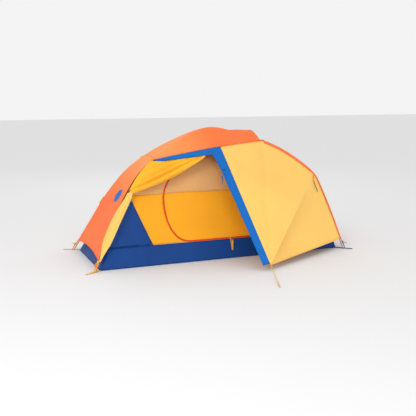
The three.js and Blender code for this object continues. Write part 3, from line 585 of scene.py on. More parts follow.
# %% Rows that follow a path, grown with Geometry Nodes
def node_group(name, sizes):
    """An empty tree with a geometry input and one number input for each size."""
    tree = bpy.data.node_groups.new(name, "GeometryNodeTree")
    tree.interface.new_socket("Geometry", in_out="INPUT", socket_type="NodeSocketGeometry")
    for label, value in sizes.items():
        kind = "NodeSocketInt" if isinstance(value, int) else "NodeSocketFloat"
        tree.interface.new_socket(label, in_out="INPUT", socket_type=kind).default_value = value
    tree.interface.new_socket("Finish", in_out="INPUT", socket_type="NodeSocketMaterial")
    tree.interface.new_socket("Geometry", in_out="OUTPUT", socket_type="NodeSocketGeometry")
    return tree, tree.nodes.new("NodeGroupInput"), tree.nodes.new("NodeGroupOutput")


def chain(tree, *steps):
    """Links the geometry through a row of nodes."""
    for (a, out), (b, into) in zip(steps, steps[1:]):
        tree.links.new(a.outputs[out], b.inputs[into])


def path_row_tree(name, sizes, shape_kind):
    """Copies of a small shape along a path, turned along it: stitches or zip teeth."""
    tree, given, result = node_group(name, sizes)
    curve = tree.nodes.new("GeometryNodeMeshToCurve")
    resample = tree.nodes.new("GeometryNodeResampleCurve")
    resample.mode = "LENGTH"
    place = tree.nodes.new("GeometryNodeInstanceOnPoints")
    tangent = tree.nodes.new("GeometryNodeInputTangent")
    turn = tree.nodes.new("FunctionNodeAlignRotationToVector")
    turn.axis = "X"
    shape = tree.nodes.new(shape_kind)
    real = tree.nodes.new("GeometryNodeRealizeInstances")
    finish = tree.nodes.new("GeometryNodeSetMaterial")
    sizer = tree.nodes.new("ShaderNodeCombineXYZ")
    for axis, label in zip("XYZ", ("Along", "Across", "Height")):
        tree.links.new(given.outputs[label], sizer.inputs[axis])
    if "Size" in shape.inputs.keys():
        tree.links.new(sizer.outputs[0], shape.inputs["Size"])
    else:
        shape.inputs["Segments"].default_value = 6
        shape.inputs["Rings"].default_value = 4
        shape.inputs["Radius"].default_value = 0.5
        tree.links.new(sizer.outputs[0], place.inputs["Scale"])
    tree.links.new(given.outputs["Pitch"], resample.inputs["Length"])
    tree.links.new(tangent.outputs[0], turn.inputs["Vector"])
    tree.links.new(turn.outputs[0], place.inputs["Rotation"])
    tree.links.new(shape.outputs["Mesh"], place.inputs["Instance"])
    tree.links.new(given.outputs["Finish"], finish.inputs["Material"])
    chain(tree, (given, "Geometry"), (curve, "Mesh"))
    chain(tree, (curve, "Curve"), (resample, "Curve"))
    chain(tree, (resample, "Curve"), (place, "Points"))
    chain(tree, (place, "Instances"), (real, "Geometry"))
    chain(tree, (real, "Geometry"), (finish, "Geometry"))
    chain(tree, (finish, "Geometry"), (result, "Geometry"))
    return tree


def tube_tree():
    """A round bar of any radius along a path, with closed ends."""
    tree, given, result = node_group("bar along a path", {"Radius": 0.004, "Sides": 16})
    curve = tree.nodes.new("GeometryNodeMeshToCurve")
    profile = tree.nodes.new("GeometryNodeCurvePrimitiveCircle")
    sweep = tree.nodes.new("GeometryNodeCurveToMesh")
    sweep.inputs["Fill Caps"].default_value = True
    soft = tree.nodes.new("GeometryNodeSetShadeSmooth")
    real = tree.nodes.new("GeometryNodeRealizeInstances")
    finish = tree.nodes.new("GeometryNodeSetMaterial")
    tree.links.new(given.outputs["Radius"], profile.inputs["Radius"])
    tree.links.new(given.outputs["Sides"], profile.inputs["Resolution"])
    tree.links.new(given.outputs["Finish"], finish.inputs["Material"])
    tree.links.new(profile.outputs["Curve"], sweep.inputs["Profile Curve"])
    chain(tree, (given, "Geometry"), (curve, "Mesh"))
    chain(tree, (curve, "Curve"), (sweep, "Curve"))
    chain(tree, (sweep, "Mesh"), (soft, 0))
    chain(tree, (soft, 0), (real, "Geometry"))
    chain(tree, (real, "Geometry"), (finish, "Geometry"))
    chain(tree, (finish, "Geometry"), (result, "Geometry"))
    return tree


STITCHES = path_row_tree("row of stitches", {"Pitch": 0.006, "Along": 0.004, "Across": 0.0011,
                                             "Height": 0.0011}, "GeometryNodeMeshUVSphere")
TEETH = path_row_tree("row of zip teeth", {"Pitch": 0.003, "Along": 0.0016, "Across": 0.005,
                                           "Height": 0.002}, "GeometryNodeMeshCube")
BAR = tube_tree()


def grown(name, paths, tree, material, slot, body="tent", replaces=(), **sizes):
    """Grows a tree along one or more paths, and bakes the result as a plain piece."""
    paths = [paths] if np.ndim(paths[0]) == 1 else paths
    verts, edges = [], []
    for path in paths:
        first = len(verts)
        verts += [tuple(p) for p in np.asarray(path) / 1000]
        edges += [(first + i, first + i + 1) for i in range(len(path) - 1)]
    line = bpy.data.meshes.new(name + "_path")
    line.from_pydata(verts, edges, [])
    piece = bpy.data.objects.new(name, line)
    scene.collection.objects.link(piece)
    made = piece.modifiers.new("row", "NODES")
    made.node_group = tree
    for item in tree.interface.items_tree:
        if item.in_out == "INPUT" and item.name in sizes:
            made[item.identifier] = sizes[item.name]
        if item.in_out == "INPUT" and item.name == "Finish":
            made[item.identifier] = material
    bpy.context.view_layer.update()
    ready = piece.evaluated_get(bpy.context.evaluated_depsgraph_get())
    baked = bpy.data.meshes.new_from_object(ready)
    piece.modifiers.clear()
    piece.data = baked
    baked.name = name
    if not baked.materials:
        baked.materials.append(material)
    put(piece, body, replaces)
    print(name, len(baked.polygons), "faces")
    return piece


# %% Flat bands along a line
def band(name, centre, across, width, material, body="tent", lift=1.4, thickness=0.0009, columns=3):
    """A narrow tape along a line of points, lying on the cloth: across is the way over its width."""
    centre, across = np.asarray(centre), unit(np.asarray(across))
    width = np.broadcast_to(np.asarray(width, float), (len(centre),))
    run = np.gradient(centre, axis=0)
    face = unit(np.cross(unit(run), across))
    face = face * np.sign((face * outward(centre)).sum(axis=1, keepdims=True) + 1e-9)
    P = np.stack([centre + face * lift + across * (width * (k / (columns - 1) - 0.5))[:, None]
                  for k in range(columns)], axis=1)
    piece = new_piece(name, P.reshape(-1, 3), grid_faces(*P.shape[:2]), material, cloth_uv(P))
    thicken(piece, thickness)
    return put(piece, body)


print("helpers ready")

# %% [markdown]
# ## The guyline
# A cord pulls the porch down to a stake. What shows of it is a straight, taut run of about 45 cm that goes
# through a line lock and ends in a knotted loop. It is a curve of one spline, because a cord is measured
# along its line, and it comes early, because its length decides how far the model spreads.

# %% Cord, knot and loop
GUY_START = np.array([152.77, -898.67, 45.38])
GUY_WAY = np.array([-0.351949, -0.931105, -0.095784])
GUY_LENGTH, GUY_RADIUS = 448.9, 1.5
guy_points = [GUY_START + GUY_WAY * GUY_LENGTH * k / 19 for k in range(20)]
guy_curve = bpy.data.curves.new("guyline_cord", "CURVE")
guy_curve.dimensions = "3D"
guy_curve.bevel_depth = GUY_RADIUS / 1000
guy_curve.bevel_resolution = 3
guy_curve.use_fill_caps = True
guy_spline = guy_curve.splines.new("POLY")
guy_spline.points.add(len(guy_points) - 1)
for spot, p in zip(guy_spline.points, guy_points):
    spot.co = (*(p / 1000), 1)
guy_curve.materials.append(guy_cord)
guyline = bpy.data.objects.new("guyline_cord", guy_curve)
scene.collection.objects.link(guyline)
put(guyline, "tent", ["guyline"])

guy_side = unit(np.cross(GUY_WAY, [0, 0, 1.0]))
guy_lift = np.cross(guy_side, GUY_WAY)
turn = np.linspace(0, 2 * math.pi * 2.5, 60)
knot_path = np.array([GUY_START + GUY_WAY * (352 + 9 * k / 60) + 3.0 * (math.cos(a) * guy_side
                      + math.sin(a) * guy_lift) + np.array([0, 0, 1.2]) for k, a in enumerate(turn)])
guy_knot = grown("guyline_knot", knot_path, BAR, guy_cord, "guyline", Radius=0.0014, Sides=8)
ring_turn = np.linspace(0, math.pi, 22)
loop_path = np.array([GUY_START + GUY_WAY * (362 + 78 * math.sin(a)) + guy_side * 7 * math.sin(2 * a)
                      + np.array([0, 0, 0.6]) for a in ring_turn])
guy_loop = grown("guyline_loop", loop_path, BAR, guy_cord, "guyline", Radius=0.0014, Sides=8)
strand_points = np.array([GUY_START + GUY_WAY * d + guy_side * 6.0 * math.sin(math.pi * k) ** 0.25
                          for k, d in zip(shares(24), np.linspace(54, 354, 24))])
strand = grown("guyline_return", strand_points, BAR, guy_cord, "guyline", Radius=GUY_RADIUS / 1000, Sides=8)
print("guyline length", GUY_LENGTH, "mm")

# %% [markdown]
# ## The fly
# The fly is sewn from a roof over the crossing, an end panel between each pair of legs, a back panel, and
# a porch panel that a stake pulls out from the head leg and the roof's seam.

# %% Roof and ends
def roof_panel(canopy, t, w, strip):
    """The cloth over the ribs: a strip to each seam, which takes that share of the width, and the middle."""
    s = canopy.foot_end + (canopy.head_end - canopy.foot_end) * t
    front, back = canopy.rib(-1, s), canopy.rib(1, s)
    front_seam, back_seam = canopy.seam(-1, t), canopy.seam(1, t)
    w3 = w[..., None]
    in_front = front_seam + (front - front_seam) * w3 / strip
    behind = back + (back_seam - back) * (w3 - (1 - strip)) / strip
    between_ribs = front + (back - front) * (w3 - strip) / (1 - 2 * strip)
    return np.where(w3 < strip, in_front, np.where(w3 > 1 - strip, behind, between_ribs))


t, w = grid(57, 47)
roof = roof_panel(fly, t, w, 0.26)
roof = roof + outward(roof) * pulls(t, w, 1.6, 2.0, 0.8)[..., None]
sheet_piece("fly_roof", roof, fly_orange, ["fly_crown"])


def sag(P, u, v, depth):
    """A panel pulled in between its ribs."""
    return P - outward(P) * (depth * 4 * u * (1 - u) * np.sin(math.pi * np.clip(v, 0, 1)))[..., None]


for label, at_foot in (("foot", True), ("head", False)):
    w, v = grid(37, 61)
    P = fly.end(at_foot, w, v, rise=34)
    P = sag(P, w, v, 9) + outward(P) * pulls(w, v, 2.0, 1.5, 1.4)[..., None]
    sheet_piece(f"fly_{label}_end", P, fly_orange, [f"fly_{label}_panel"])

# %% Back panel
t, v = grid(69, 45)
P = fly.side(1, t, v, bow=45)
P = P + outward(P) * pulls(t, v, 2.5, 2.5, 0.9)[..., None]
sheet_piece("fly_back_side", P, fly_yellow, ["fly_back_panel"])

# %% [markdown]
# ## The porch
# One half of the porch stays shut: a fan of cloth from the stake to the head leg and the seam. A fan is
# straight from its point to its rim, and it keeps a soft crease where the rim turns at the pole's elbow.
# The zipped half is rolled and tied back along the foot leg. A blue storm flap hides the zip.

# %% The fixed half of the porch
STAKE = np.array([150.0, -900.0, 45.0])
ZIP_SHARE = 5 / 9
zip_top = fly.seam(-1, ZIP_SHARE)
leg_part = fly.rib(-1, np.linspace(fly.head_hem, fly.head_seam, 46))
seam_part = fly.seam(-1, np.linspace(1, ZIP_SHARE, 22))[1:]
rim = np.vstack([leg_part, seam_part])
u, b = grid(len(rim), 44)
b = 0.006 + (0.9995 - 0.006) * b
P = STAKE + (rim[None, :, :] - STAKE) * b[..., None]
ELBOW_HEIGHT = 655.0
HOLLOW_BELOW_ELBOW, HOLLOW_ABOVE_ELBOW = 50.0, 9.0  # how far the two facets sink in
FAN_HEIGHT, FAN_COUNT, FAN_REACH, FAN_START = 4.5, 11, 190, 25  # pulls that spread out from the elbow
elbow = int(np.argmin(np.abs(leg_part[:, 2] - ELBOW_HEIGHT)))
along_rim = np.arange(len(rim))[None, :]
ridge = np.exp(-np.abs(along_rim - elbow) / 3.0) * np.sin(math.pi * b) ** 0.7 * 7.0
hollow = np.where(along_rim < elbow, np.sin(math.pi * np.clip(along_rim / elbow, 0, 1)) ** 0.8, 0)
beyond = np.clip((along_rim - elbow) / (len(rim) - 1 - elbow), 0, 1)
hollow = hollow * HOLLOW_BELOW_ELBOW + np.sin(math.pi * beyond) * HOLLOW_ABOVE_ELBOW
taut = np.sin(math.pi * np.clip(b, 0, 1)) ** 0.8
P = P + outward(P) * (ridge - hollow * taut + pulls(u, b, 2.5, 1.2, 0.3))[..., None]
elbow_point = leg_part[elbow]
from_elbow = P - elbow_point
reach = np.linalg.norm(from_elbow, axis=-1)
bearing = np.arctan2(from_elbow[..., 2], from_elbow[..., 0])
fan = FAN_HEIGHT * np.sin(FAN_COUNT * bearing) * np.exp(-reach / FAN_REACH)
fan = fan * (1 - np.exp(-reach / FAN_START)) * np.clip((1 - b) * 12, 0, 1)
P = P + outward(P) * fan[..., None]
porch_grid = P
sheet_piece("porch_half", P, fly_yellow, ["fly_vestibule_panel"])

# %% The storm flap
TOUCH = 0.4
zip_down = unit(STAKE - zip_top)
zip_run = float(np.linalg.norm(STAKE - zip_top))
seam_start = fly.seam(-1, 0.03)
door_normal = unit(np.cross(seam_start - zip_top, zip_down))
zip_left = np.cross(zip_down, door_normal)
zip_left = zip_left * (-1 if zip_left[0] > 0 else 1)
EDGE_FROM, EDGE_TO = 0.19, 0.985
ARM_AT_FOOT, ARM_AT_CORNER = 22, 70  # the flap's width along the roof seam
FLAP_AT_TOP, FLAP_AT_HEM = 72, 58  # and down the zip
CORNER_DROP, CORNER_TURN = 74, 190


def under_seam(t, drop):
    """A point of the flap, a drop below where it is sewn to the roof seam."""
    return fly.seam(-1, t) + zip_down * (TOUCH + drop)


def arm_width(t):
    """How wide the flap is along the roof seam."""
    return ARM_AT_FOOT + (ARM_AT_CORNER - ARM_AT_FOOT) * t / ZIP_SHARE


def flap_edge(share):
    """A point of the flap's free edge, at a share of the zip's length."""
    width = FLAP_AT_TOP + (FLAP_AT_HEM - FLAP_AT_TOP) * (share - EDGE_FROM) / (EDGE_TO - EDGE_FROM)
    return zip_top + zip_down * share * zip_run + zip_left * width


CORNER_RUN = 0.1  # how much of the seam the round corner takes
stops = np.linspace(0.03, ZIP_SHARE - CORNER_RUN, 22)
outer = [under_seam(t, 0) for t in stops]
edge = [under_seam(t, arm_width(t)) for t in stops]
corner = under_seam(ZIP_SHARE, CORNER_DROP) + zip_left * FLAP_AT_TOP
turn_to = corner + zip_down * CORNER_TURN
for k in np.linspace(0.05, 1, 20):
    outer.append(under_seam(ZIP_SHARE - CORNER_RUN * (1 - 2 * k), 0) if k < 0.5
                 else under_seam(ZIP_SHARE, 500 * (k - 0.5)))
    a = edge[21] + (corner - edge[21]) * k
    edge.append(a + (corner + (turn_to - corner) * k - a) * k)
for share in np.linspace(EDGE_FROM, EDGE_TO, 40):
    outer.append(zip_top + zip_down * share * zip_run)
    edge.append(flap_edge(share))
outer, edge = np.array(outer), np.array(edge)
cross = shares(9)[None, :, None]
P = outer[:, None, :] + (edge - outer)[:, None, :] * cross
along_flap = shares(len(P))[:, None]
curl = 2.0 * np.sin(math.pi * cross[..., 0]) + 1.4 * cross[..., 0] * np.sin(2 * math.pi * 6.3 * along_flap)
P = P + outward(P) * (1.5 + curl * np.clip(8 * along_flap, 0, 1))[..., None]
sheet_piece("porch_storm_flap", P, flap_blue, ["storm_flap"])

# %% The rolled door
TIE_ROW = 5


def foot_row(k):
    """The arch's share at row k of 8, up a foot leg."""
    return fly.foot_hem + (fly.foot_seam - fly.foot_hem) * k / 8


tie = fly.rib(-1, foot_row(TIE_ROW)) - zip_left * 26 + np.array([0, -10.4, 0])
hang = np.array([under_seam(t, arm_width(t) - 6) - outward(fly.seam(-1, t)) * 9
                 for t in np.linspace(0.03, 0.42, 34)])
leg_line = fly.rib(-1, np.linspace(foot_row(8), foot_row(TIE_ROW), 34)) - zip_left * 1 + np.array([0, -1, 0])
u, v = grid(31, 34)
reach_to = leg_line + (tie - leg_line) * shares(34)[:, None] ** 2 * 0.8
P = hang[:, None, :] + (reach_to - hang)[:, None, :] * u[..., None]
folds = np.sin(2 * math.pi * (3.2 * v ** 1.3) + 0.6) * 16 * np.sin(math.pi * np.clip(u, 0, 1)) ** 0.7
P = P + outward(P) * (np.sin(math.pi * u) * 6 + 1 + folds * (0.3 + v))[..., None]
P = P + np.array([0, 0, -14.0]) * (np.sin(math.pi * u) * v)[..., None]
door_sheet_area = cut_size(P)


def gathered(name, centre, width, depth, pleats, material, sides=40, twist=0.6):
    """Cloth gathered along a line: an oval bundle whose skin is pleated lengthwise."""
    centre = np.asarray(centre)
    run = unit(np.gradient(centre, axis=0))
    face = unit(outward(centre) - run * (outward(centre) * run).sum(axis=1, keepdims=True))
    side = np.cross(run, face)
    angle = np.linspace(0, 2 * math.pi, sides, endpoint=False)[None, :]
    far = shares(len(centre))[:, None]
    pleat = (1 + 0.19 * np.sin(pleats * angle + twist * 6 * far)
             + 0.1 * np.sin((2 * pleats + 1) * angle - 4 * far + 1.1))
    x = np.asarray(width)[:, None] * np.cos(angle) * pleat
    y = np.asarray(depth)[:, None] * np.sin(angle) * pleat
    P = centre[:, None, :] + side[:, None, :] * x[..., None] + face[:, None, :] * y[..., None]
    n = P.shape[0] * P.shape[1]
    verts = np.vstack([P.reshape(-1, 3), P[0].mean(axis=0), P[-1].mean(axis=0)])
    faces = grid_faces(*P.shape[:2], closed=True)
    last = (P.shape[0] - 1) * sides
    faces += [(n, (j + 1) % sides, j) for j in range(sides)]
    faces += [(n + 1, last + j, last + (j + 1) % sides) for j in range(sides)]
    closed = np.concatenate([P, P[:, :1]], axis=1)
    uv = cloth_uv(closed).reshape(P.shape[0], sides + 1, 2)[:, :-1].reshape(-1, 2)
    piece = new_piece(name, verts, faces, material, np.vstack([uv, [0, 0], [0, 0]]))
    turn_outwards(piece)
    return put(piece, "tent")


def turn_outwards(piece):
    """Recalculates a closed mesh's normals so that its faces point out."""
    work = bmesh.new()
    work.from_mesh(piece.data)
    bmesh.ops.recalc_face_normals(work, faces=work.faces)
    work.to_mesh(piece.data)
    work.free()


fold_top = under_seam(0.4, arm_width(0.4) + 2)
k = shares(30)[:, None]
fold_line = fold_top + (tie - fold_top) * k + np.array([0, 0, -18.0]) * 4 * k * (1 - k)
swell = np.sin(math.pi * k[:, 0] ** 0.8)
fold_width = 9 + 13 * swell + 7 * k[:, 0]
fold_depth = 7 + 9 * swell + 3 * k[:, 0]
fold_roll = gathered("door_fold_roll", fold_line, fold_width, fold_depth, 5, door_yellow)
leg_rows = np.linspace(TIE_ROW, -0.12, 50)
down = shares(len(leg_rows))
off_rib = (44 - 31 * down)[:, None]
leg_centre = fly.rib(-1, foot_row(leg_rows)) - zip_left * off_rib + np.array([0, -0.4, 0]) * off_rib
blend_in = np.clip(down / 0.12, 0, 1)[:, None]
leg_centre = tie + (leg_centre - tie) * blend_in
belly = np.sin(math.pi * np.clip(down * 0.92 + 0.04, 0, 1)) ** 0.8
narrowing = 1 - 0.72 * np.clip((down - 0.75) / 0.25, 0, 1)
leg_width, leg_depth = (12 + 24 * belly) * narrowing, (9 + 8 * belly) * narrowing
leg_roll = gathered("door_leg_roll", leg_centre, leg_width, leg_depth, 4, fly_yellow, twist=0.25)
sheet_piece("door_drape", P, door_yellow, ["rolled_door"],
            flat=door_sheet_area)
print("rolled door from", fold_top.round(), "to", tie.round())

# %% [markdown]
# ## The inner tent
# The inner tent hangs inside the poles on clips. Its upper half is netting and its lower half is cloth.
# The front wall has the most parts: a navy gusset by the foot leg, cloth below, netting above, and a
# D-shaped door that opens along a red zip. The wall is one surface, so its parts are cut from one flat
# pattern: outlines are drawn on the wall seen square on, triangles fill them, and each point is then
# lifted onto the wall. That keeps the edges of neighbours exactly together.

# %% The front wall's own directions
low_foot, low_head = inner.rib(-1, inner.foot_hem), inner.rib(-1, inner.head_hem)
wall_foot = (low_foot + low_head) / 2
wall_head = (inner.rib(-1, inner.foot_seam) + inner.rib(-1, inner.head_seam)) / 2
wall_along = unit((low_head - low_foot) * np.array([1, 1, 0]))
wall_rise = wall_head - wall_foot
wall_up = unit(wall_rise - wall_along * wall_rise.dot(wall_along))
wall_origin = np.array([0, wall_foot[1] - wall_foot[0] * wall_along[1] / wall_along[0], TUB_HEIGHT])


def on_plan(p):
    q = p - wall_origin
    return np.stack([q @ wall_along, q @ wall_up], axis=-1)


def on_wall(plan):
    """Points of the wall over points of its flat plan, by a few Newton steps."""
    plan = np.asarray(plan, float)
    t = np.clip((plan[:, 0] + 960) / 1990, 0, 1)
    v = np.clip(plan[:, 1] / 760, 0, 1)
    step = 1e-3
    for _ in range(14):
        here = on_plan(inner.side(-1, t, v))
        by_t = (on_plan(inner.side(-1, t + step, v)) - here) / step
        by_v = (on_plan(inner.side(-1, t, v + step)) - here) / step
        miss = plan - here
        det = by_t[:, 0] * by_v[:, 1] - by_t[:, 1] * by_v[:, 0]
        t = np.clip(t + (miss[:, 0] * by_v[:, 1] - miss[:, 1] * by_v[:, 0]) / det, -0.01, 1.01)
        v = np.clip(v + (by_t[:, 0] * miss[:, 1] - by_t[:, 1] * miss[:, 0]) / det, -0.01, 1.01)
    return inner.side(-1, t, v)


# %% The door's outline
DOOR_LEFT, DOOR_RIGHT, DOOR_SILL, DOOR_TOP = -490, 450, 8, 730


def bezier(a, b, c, d, count=22):
    k = shares(count)[1:, None]
    a, b, c, d = [np.array(p, float) for p in (a, b, c, d)]
    return a * (1 - k) ** 3 + 3 * b * k * (1 - k) ** 2 + 3 * c * k ** 2 * (1 - k) + d * k ** 3


def straight(a, b, spacing=20):
    count = max(int(np.linalg.norm(np.subtract(b, a)) / spacing), 1)
    return np.array(a) + (np.array(b, float) - np.array(a)) * np.linspace(0, 1, count + 1)[1:, None]


left, right, sill, top = DOOR_LEFT, DOOR_RIGHT, DOOR_SILL, DOOR_TOP
zip_start, top_right, top_left = (right, top - 170), (right - 300, top), (left + 530, top)
widest, low_left_turn, zip_end = (left, top - 380), (left + 200, sill), (right, sill)
door_zip_line = np.vstack([
    [zip_start], bezier(zip_start, (right, top - 60), (right - 130, top), top_right),
    straight(top_right, top_left), bezier(top_left, (left + 320, top), (left, top - 130), widest),
    bezier(widest, (left, sill + 190), (left + 50, sill), low_left_turn),
    straight(low_left_turn, zip_end)])
door_outline = np.vstack([door_zip_line, straight(zip_end, zip_start)[:-1]])
print("door outline of", len(door_outline), "points")

# %% Cutting the wall's pattern
MESH_LINE = 416.0
GUSSET_PEAK, GUSSET_BASE = 403.0, -610.0
steps_v = shares(46)
steps_t = shares(90)
left_edge = on_plan(inner.side(-1, 0 * steps_v, steps_v))
right_edge = on_plan(inner.side(-1, 0 * steps_v + 1, steps_v))
top_edge = on_plan(inner.side(-1, steps_t, 0 * steps_t + 1))
bottom_edge = on_plan(inner.side(-1, steps_t, 0 * steps_t))
wall_outline = np.vstack([bottom_edge, right_edge[1:], top_edge[::-1][1:], left_edge[::-1][1:-1]])
peak = np.array([np.interp(GUSSET_PEAK, left_edge[:, 1], left_edge[:, 0]), GUSSET_PEAK])
base = np.array([GUSSET_BASE, float(np.interp(GUSSET_BASE, bottom_edge[:, 0], bottom_edge[:, 1]))])
mesh_left = np.array([np.interp(MESH_LINE, left_edge[:, 1], left_edge[:, 0]), MESH_LINE])
mesh_right = np.array([np.interp(MESH_LINE, right_edge[:, 1], right_edge[:, 0]), MESH_LINE])
mesh_line = np.vstack([[mesh_left], straight(mesh_left, mesh_right)])
gusset_line = np.vstack([[peak], straight(peak, base)])


def inside(points, outline):
    x, y = points[:, 0], points[:, 1]
    result = np.zeros(len(points), bool)
    for a, b in zip(outline, np.roll(outline, -1, axis=0)):
        crosses = (a[1] > y) != (b[1] > y)
        with np.errstate(divide="ignore", invalid="ignore"):
            x_at = (b[0] - a[0]) * (y - a[1]) / (b[1] - a[1]) + a[0]
        result ^= crosses & (x < x_at)
    return result


plan_points, plan_edges = [], []
for line, closed in ((wall_outline, True), (door_outline, True), (mesh_line, False), (gusset_line, False)):
    first = len(plan_points)
    plan_points += list(line)
    count = len(line)
    plan_edges += [(first + i, first + (i + 1) % count) for i in range(count if closed else count - 1)]
fixed = np.array(plan_points)
SPACING = 24
filler = np.array([(x + (j % 2) * SPACING / 2, y) for j, y in enumerate(np.arange(4, 800, SPACING * 0.87))
                   for x in np.arange(-1020, 1080, SPACING)])
filler = filler[inside(filler, wall_outline)]
gaps = np.sqrt(((filler[:, None, :] - fixed[None, :, :]) ** 2).sum(axis=2)).min(axis=1)
filler = filler[gaps > 11]
flat_points = [Vector(p) for p in np.vstack([fixed, filler])]
found, _, triangles, *_ = delaunay_2d_cdt(flat_points, plan_edges, [], 0, 1e-3)
plan = np.array([tuple(p) for p in found])
triangles = np.array([tuple(t) for t in triangles if len(t) == 3])
middle = plan[triangles].mean(axis=1)
in_wall = inside(middle, wall_outline)
in_door = inside(middle, door_outline)
above = middle[:, 1] > MESH_LINE
side_of = ((base[0] - peak[0]) * (middle[:, 1] - peak[1]) - (base[1] - peak[1]) * (middle[:, 0] - peak[0]))
in_gusset = (middle[:, 1] < GUSSET_PEAK) & (side_of < 0) & ~in_door
wall_points = on_wall(plan)
u_share = np.clip((plan[:, 0] + 980) / 2020, 0, 1)
v_share = np.clip(plan[:, 1] / 770, 0, 1)
wall_points = wall_points + outward(wall_points) * (pulls(u_share, v_share, 2.2, 3.1, 0.7))[:, None]
print("wall pattern:", len(triangles), "triangles")


def wall_part(name, chosen, material, body, replaces):
    """One part of the front wall, from its triangles of the flat pattern."""
    used, index = np.unique(triangles[chosen], return_inverse=True)
    faces = index.reshape(-1, 3)
    a, b, c = [wall_points[triangles[chosen][:, k]] for k in range(3)]
    normal = np.cross(b - a, c - a)
    flip = (normal * outward(a)).sum(axis=1) < 0
    faces[flip] = faces[flip][:, ::-1]
    piece = new_piece(name, wall_points[used], faces, material, plan[used] / 1000)
    thicken(piece)
    put(piece, body, replaces)
    w, h = (plan[used].max(axis=0) - plan[used].min(axis=0)) / 1000
    area = float(np.linalg.norm(normal, axis=1).sum()) / 2e6
    w = max(w, area / h)
    print(name, "cut", round(w, 3), "x", round(h, 3), "m, area", round(area, 3))
    return piece


wall_part("front_gusset", in_wall & in_gusset, floor_navy, "tent", ["inner_front_wall"])
wall_part("front_cloth", in_wall & ~in_door & ~above & ~in_gusset, inner_amber, "tent",
          ["inner_front_wall"])
wall_part("front_netting", in_wall & ~in_door & above, inner_mesh, "tent",
          ["inner_front_wall"])
wall_part("door_cloth", in_door & ~above, inner_amber, "inner_door", ["inner_door"])
wall_part("door_netting", in_door & above, inner_mesh, "inner_door", ["inner_door"])

# %% The door's zip: a tape on each side, and a row of teeth between them
HALF_TAPE = 6.5
zip_run_plan = np.gradient(door_zip_line, axis=0)
zip_normal = unit(np.stack([zip_run_plan[:, 1], -zip_run_plan[:, 0]], axis=1))
centre_of_door = np.array([0.0, 330.0])
zip_normal *= np.sign(((door_zip_line - centre_of_door) * zip_normal).sum(axis=1, keepdims=True))
for name, body, way in (("door_zip_tape_wall", "tent", 1), ("door_zip_tape_door", "inner_door", -1)):
    inner_side = on_wall(door_zip_line)
    outer_side = on_wall(door_zip_line + zip_normal * way * HALF_TAPE)
    band(name, (inner_side + outer_side) / 2, outer_side - inner_side, HALF_TAPE, zip_red,
         body, lift=1.9)
zip_path = on_wall(door_zip_line)
zip_path = zip_path + outward(zip_path) * 3.0
grown("door_zip_teeth", zip_path, TEETH, zip_tooth, "zip_metal", Pitch=0.0045, Along=0.0026,
      Across=0.0042, Height=0.0022)

# %% The other walls and the roof of the inner tent
CLOTH_TOP = 545.0
for label, at_foot in (("foot", True), ("head", False)):
    column = shares(400)
    heights = inner.end(at_foot, 0 * column + 0.5, column)[:, 2]
    split = float(np.interp(CLOTH_TOP, heights, column))
    for part, low, high, material, slot in (("cloth", 0, split, inner_amber, "inner_amber"),
                                            ("netting", split, 1, inner_mesh, "inner_mesh")):
        w, v = np.meshgrid(shares(29), np.linspace(low, high, 27))
        P = inner.end(at_foot, w, v)
        P = sag(P, w, v, 5) + outward(P) * pulls(w, v, 1.5, 1.5, 1.2)[..., None]
        sheet_piece(f"{label}_wall_{part}", P, material, [f"inner_{label}_wall"])
t, v = grid(61, 200)
heights = inner.side(1, t, v)[..., 2]
split = np.array([np.interp(CLOTH_TOP, heights[:, k], v[:, k]) for k in range(61)])
for part, material, slot in (("cloth", inner_amber, "inner_amber"), ("netting", inner_mesh, "inner_mesh")):
    t, k = grid(61, 25)
    v = k * split[None, :] if part == "cloth" else split[None, :] + k * (1 - split[None, :])
    P = inner.side(1, t, v)
    P = P + outward(P) * pulls(t, v, 2.0, 3.0, 0.6)[..., None]
    sheet_piece(f"back_wall_{part}", P, material, ["inner_back_wall"])
t, w = grid(49, 33)
P = roof_panel(inner, t, w, 0.3)
sheet_piece("inner_roof_netting", P, inner_mesh, ["inner_crown"])

# %% [markdown]
# ## The bathtub floor
# The floor is one coated sheet whose sides are turned up 15 cm and sewn to the walls, so that its seams
# stay off wet ground. It is drawn as rings: the top edge, the sides with their slack, the turned corner,
# and the ground sheet inside it.

# %% Tub
def rounded_ring(corners, per_side=34, radius=30):
    points = []
    for k in range(4):
        p, before, after = corners[k], corners[(k + 3) % 4], corners[(k + 1) % 4]
        a, b = p + unit(before - p) * radius, p + unit(after - p) * radius
        arc = shares(8)[:, None]
        points += list((a * (1 - arc) + p * arc) * (1 - arc) + (p * (1 - arc) + b * arc) * arc)
        following = corners[(k + 1) % 4] + unit(p - corners[(k + 1) % 4]) * radius
        points += list(b + (following - b) * shares(per_side)[1:-1, None])
    return np.array(points)


half_foot, half_head, half_long = FOOT_WIDTH / 2, HEAD_WIDTH / 2, FLOOR_LENGTH / 2
bottom_corners = np.array([(-half_long, -half_foot, 0), (half_long, -half_head, 0), (half_long, half_head, 0),
                           (-half_long, half_foot, 0)])
top_corners = np.array([inner.rib(-1, inner.foot_hem), inner.rib(-1, inner.head_hem),
                        inner.rib(1, inner.head_hem), inner.rib(1, inner.foot_hem)])
bottom_ring, top_ring = rounded_ring(bottom_corners), rounded_ring(top_corners)
bottom_ring[:, 2], top_ring[:, 2] = 0.7, 150.4
rings = []
around = np.linspace(0, 2 * math.pi, len(bottom_ring), endpoint=False)
for k in shares(12):
    ring = top_ring + (bottom_ring - top_ring) * k
    slack = math.sin(math.pi * k) * (1.6 * np.sin(17 * around + 3 * k) + 1.1 * np.sin(41 * around - 5 * k))
    away = unit(ring * np.array([1, 1, 0]))
    rings.append(ring + away * slack[:, None])
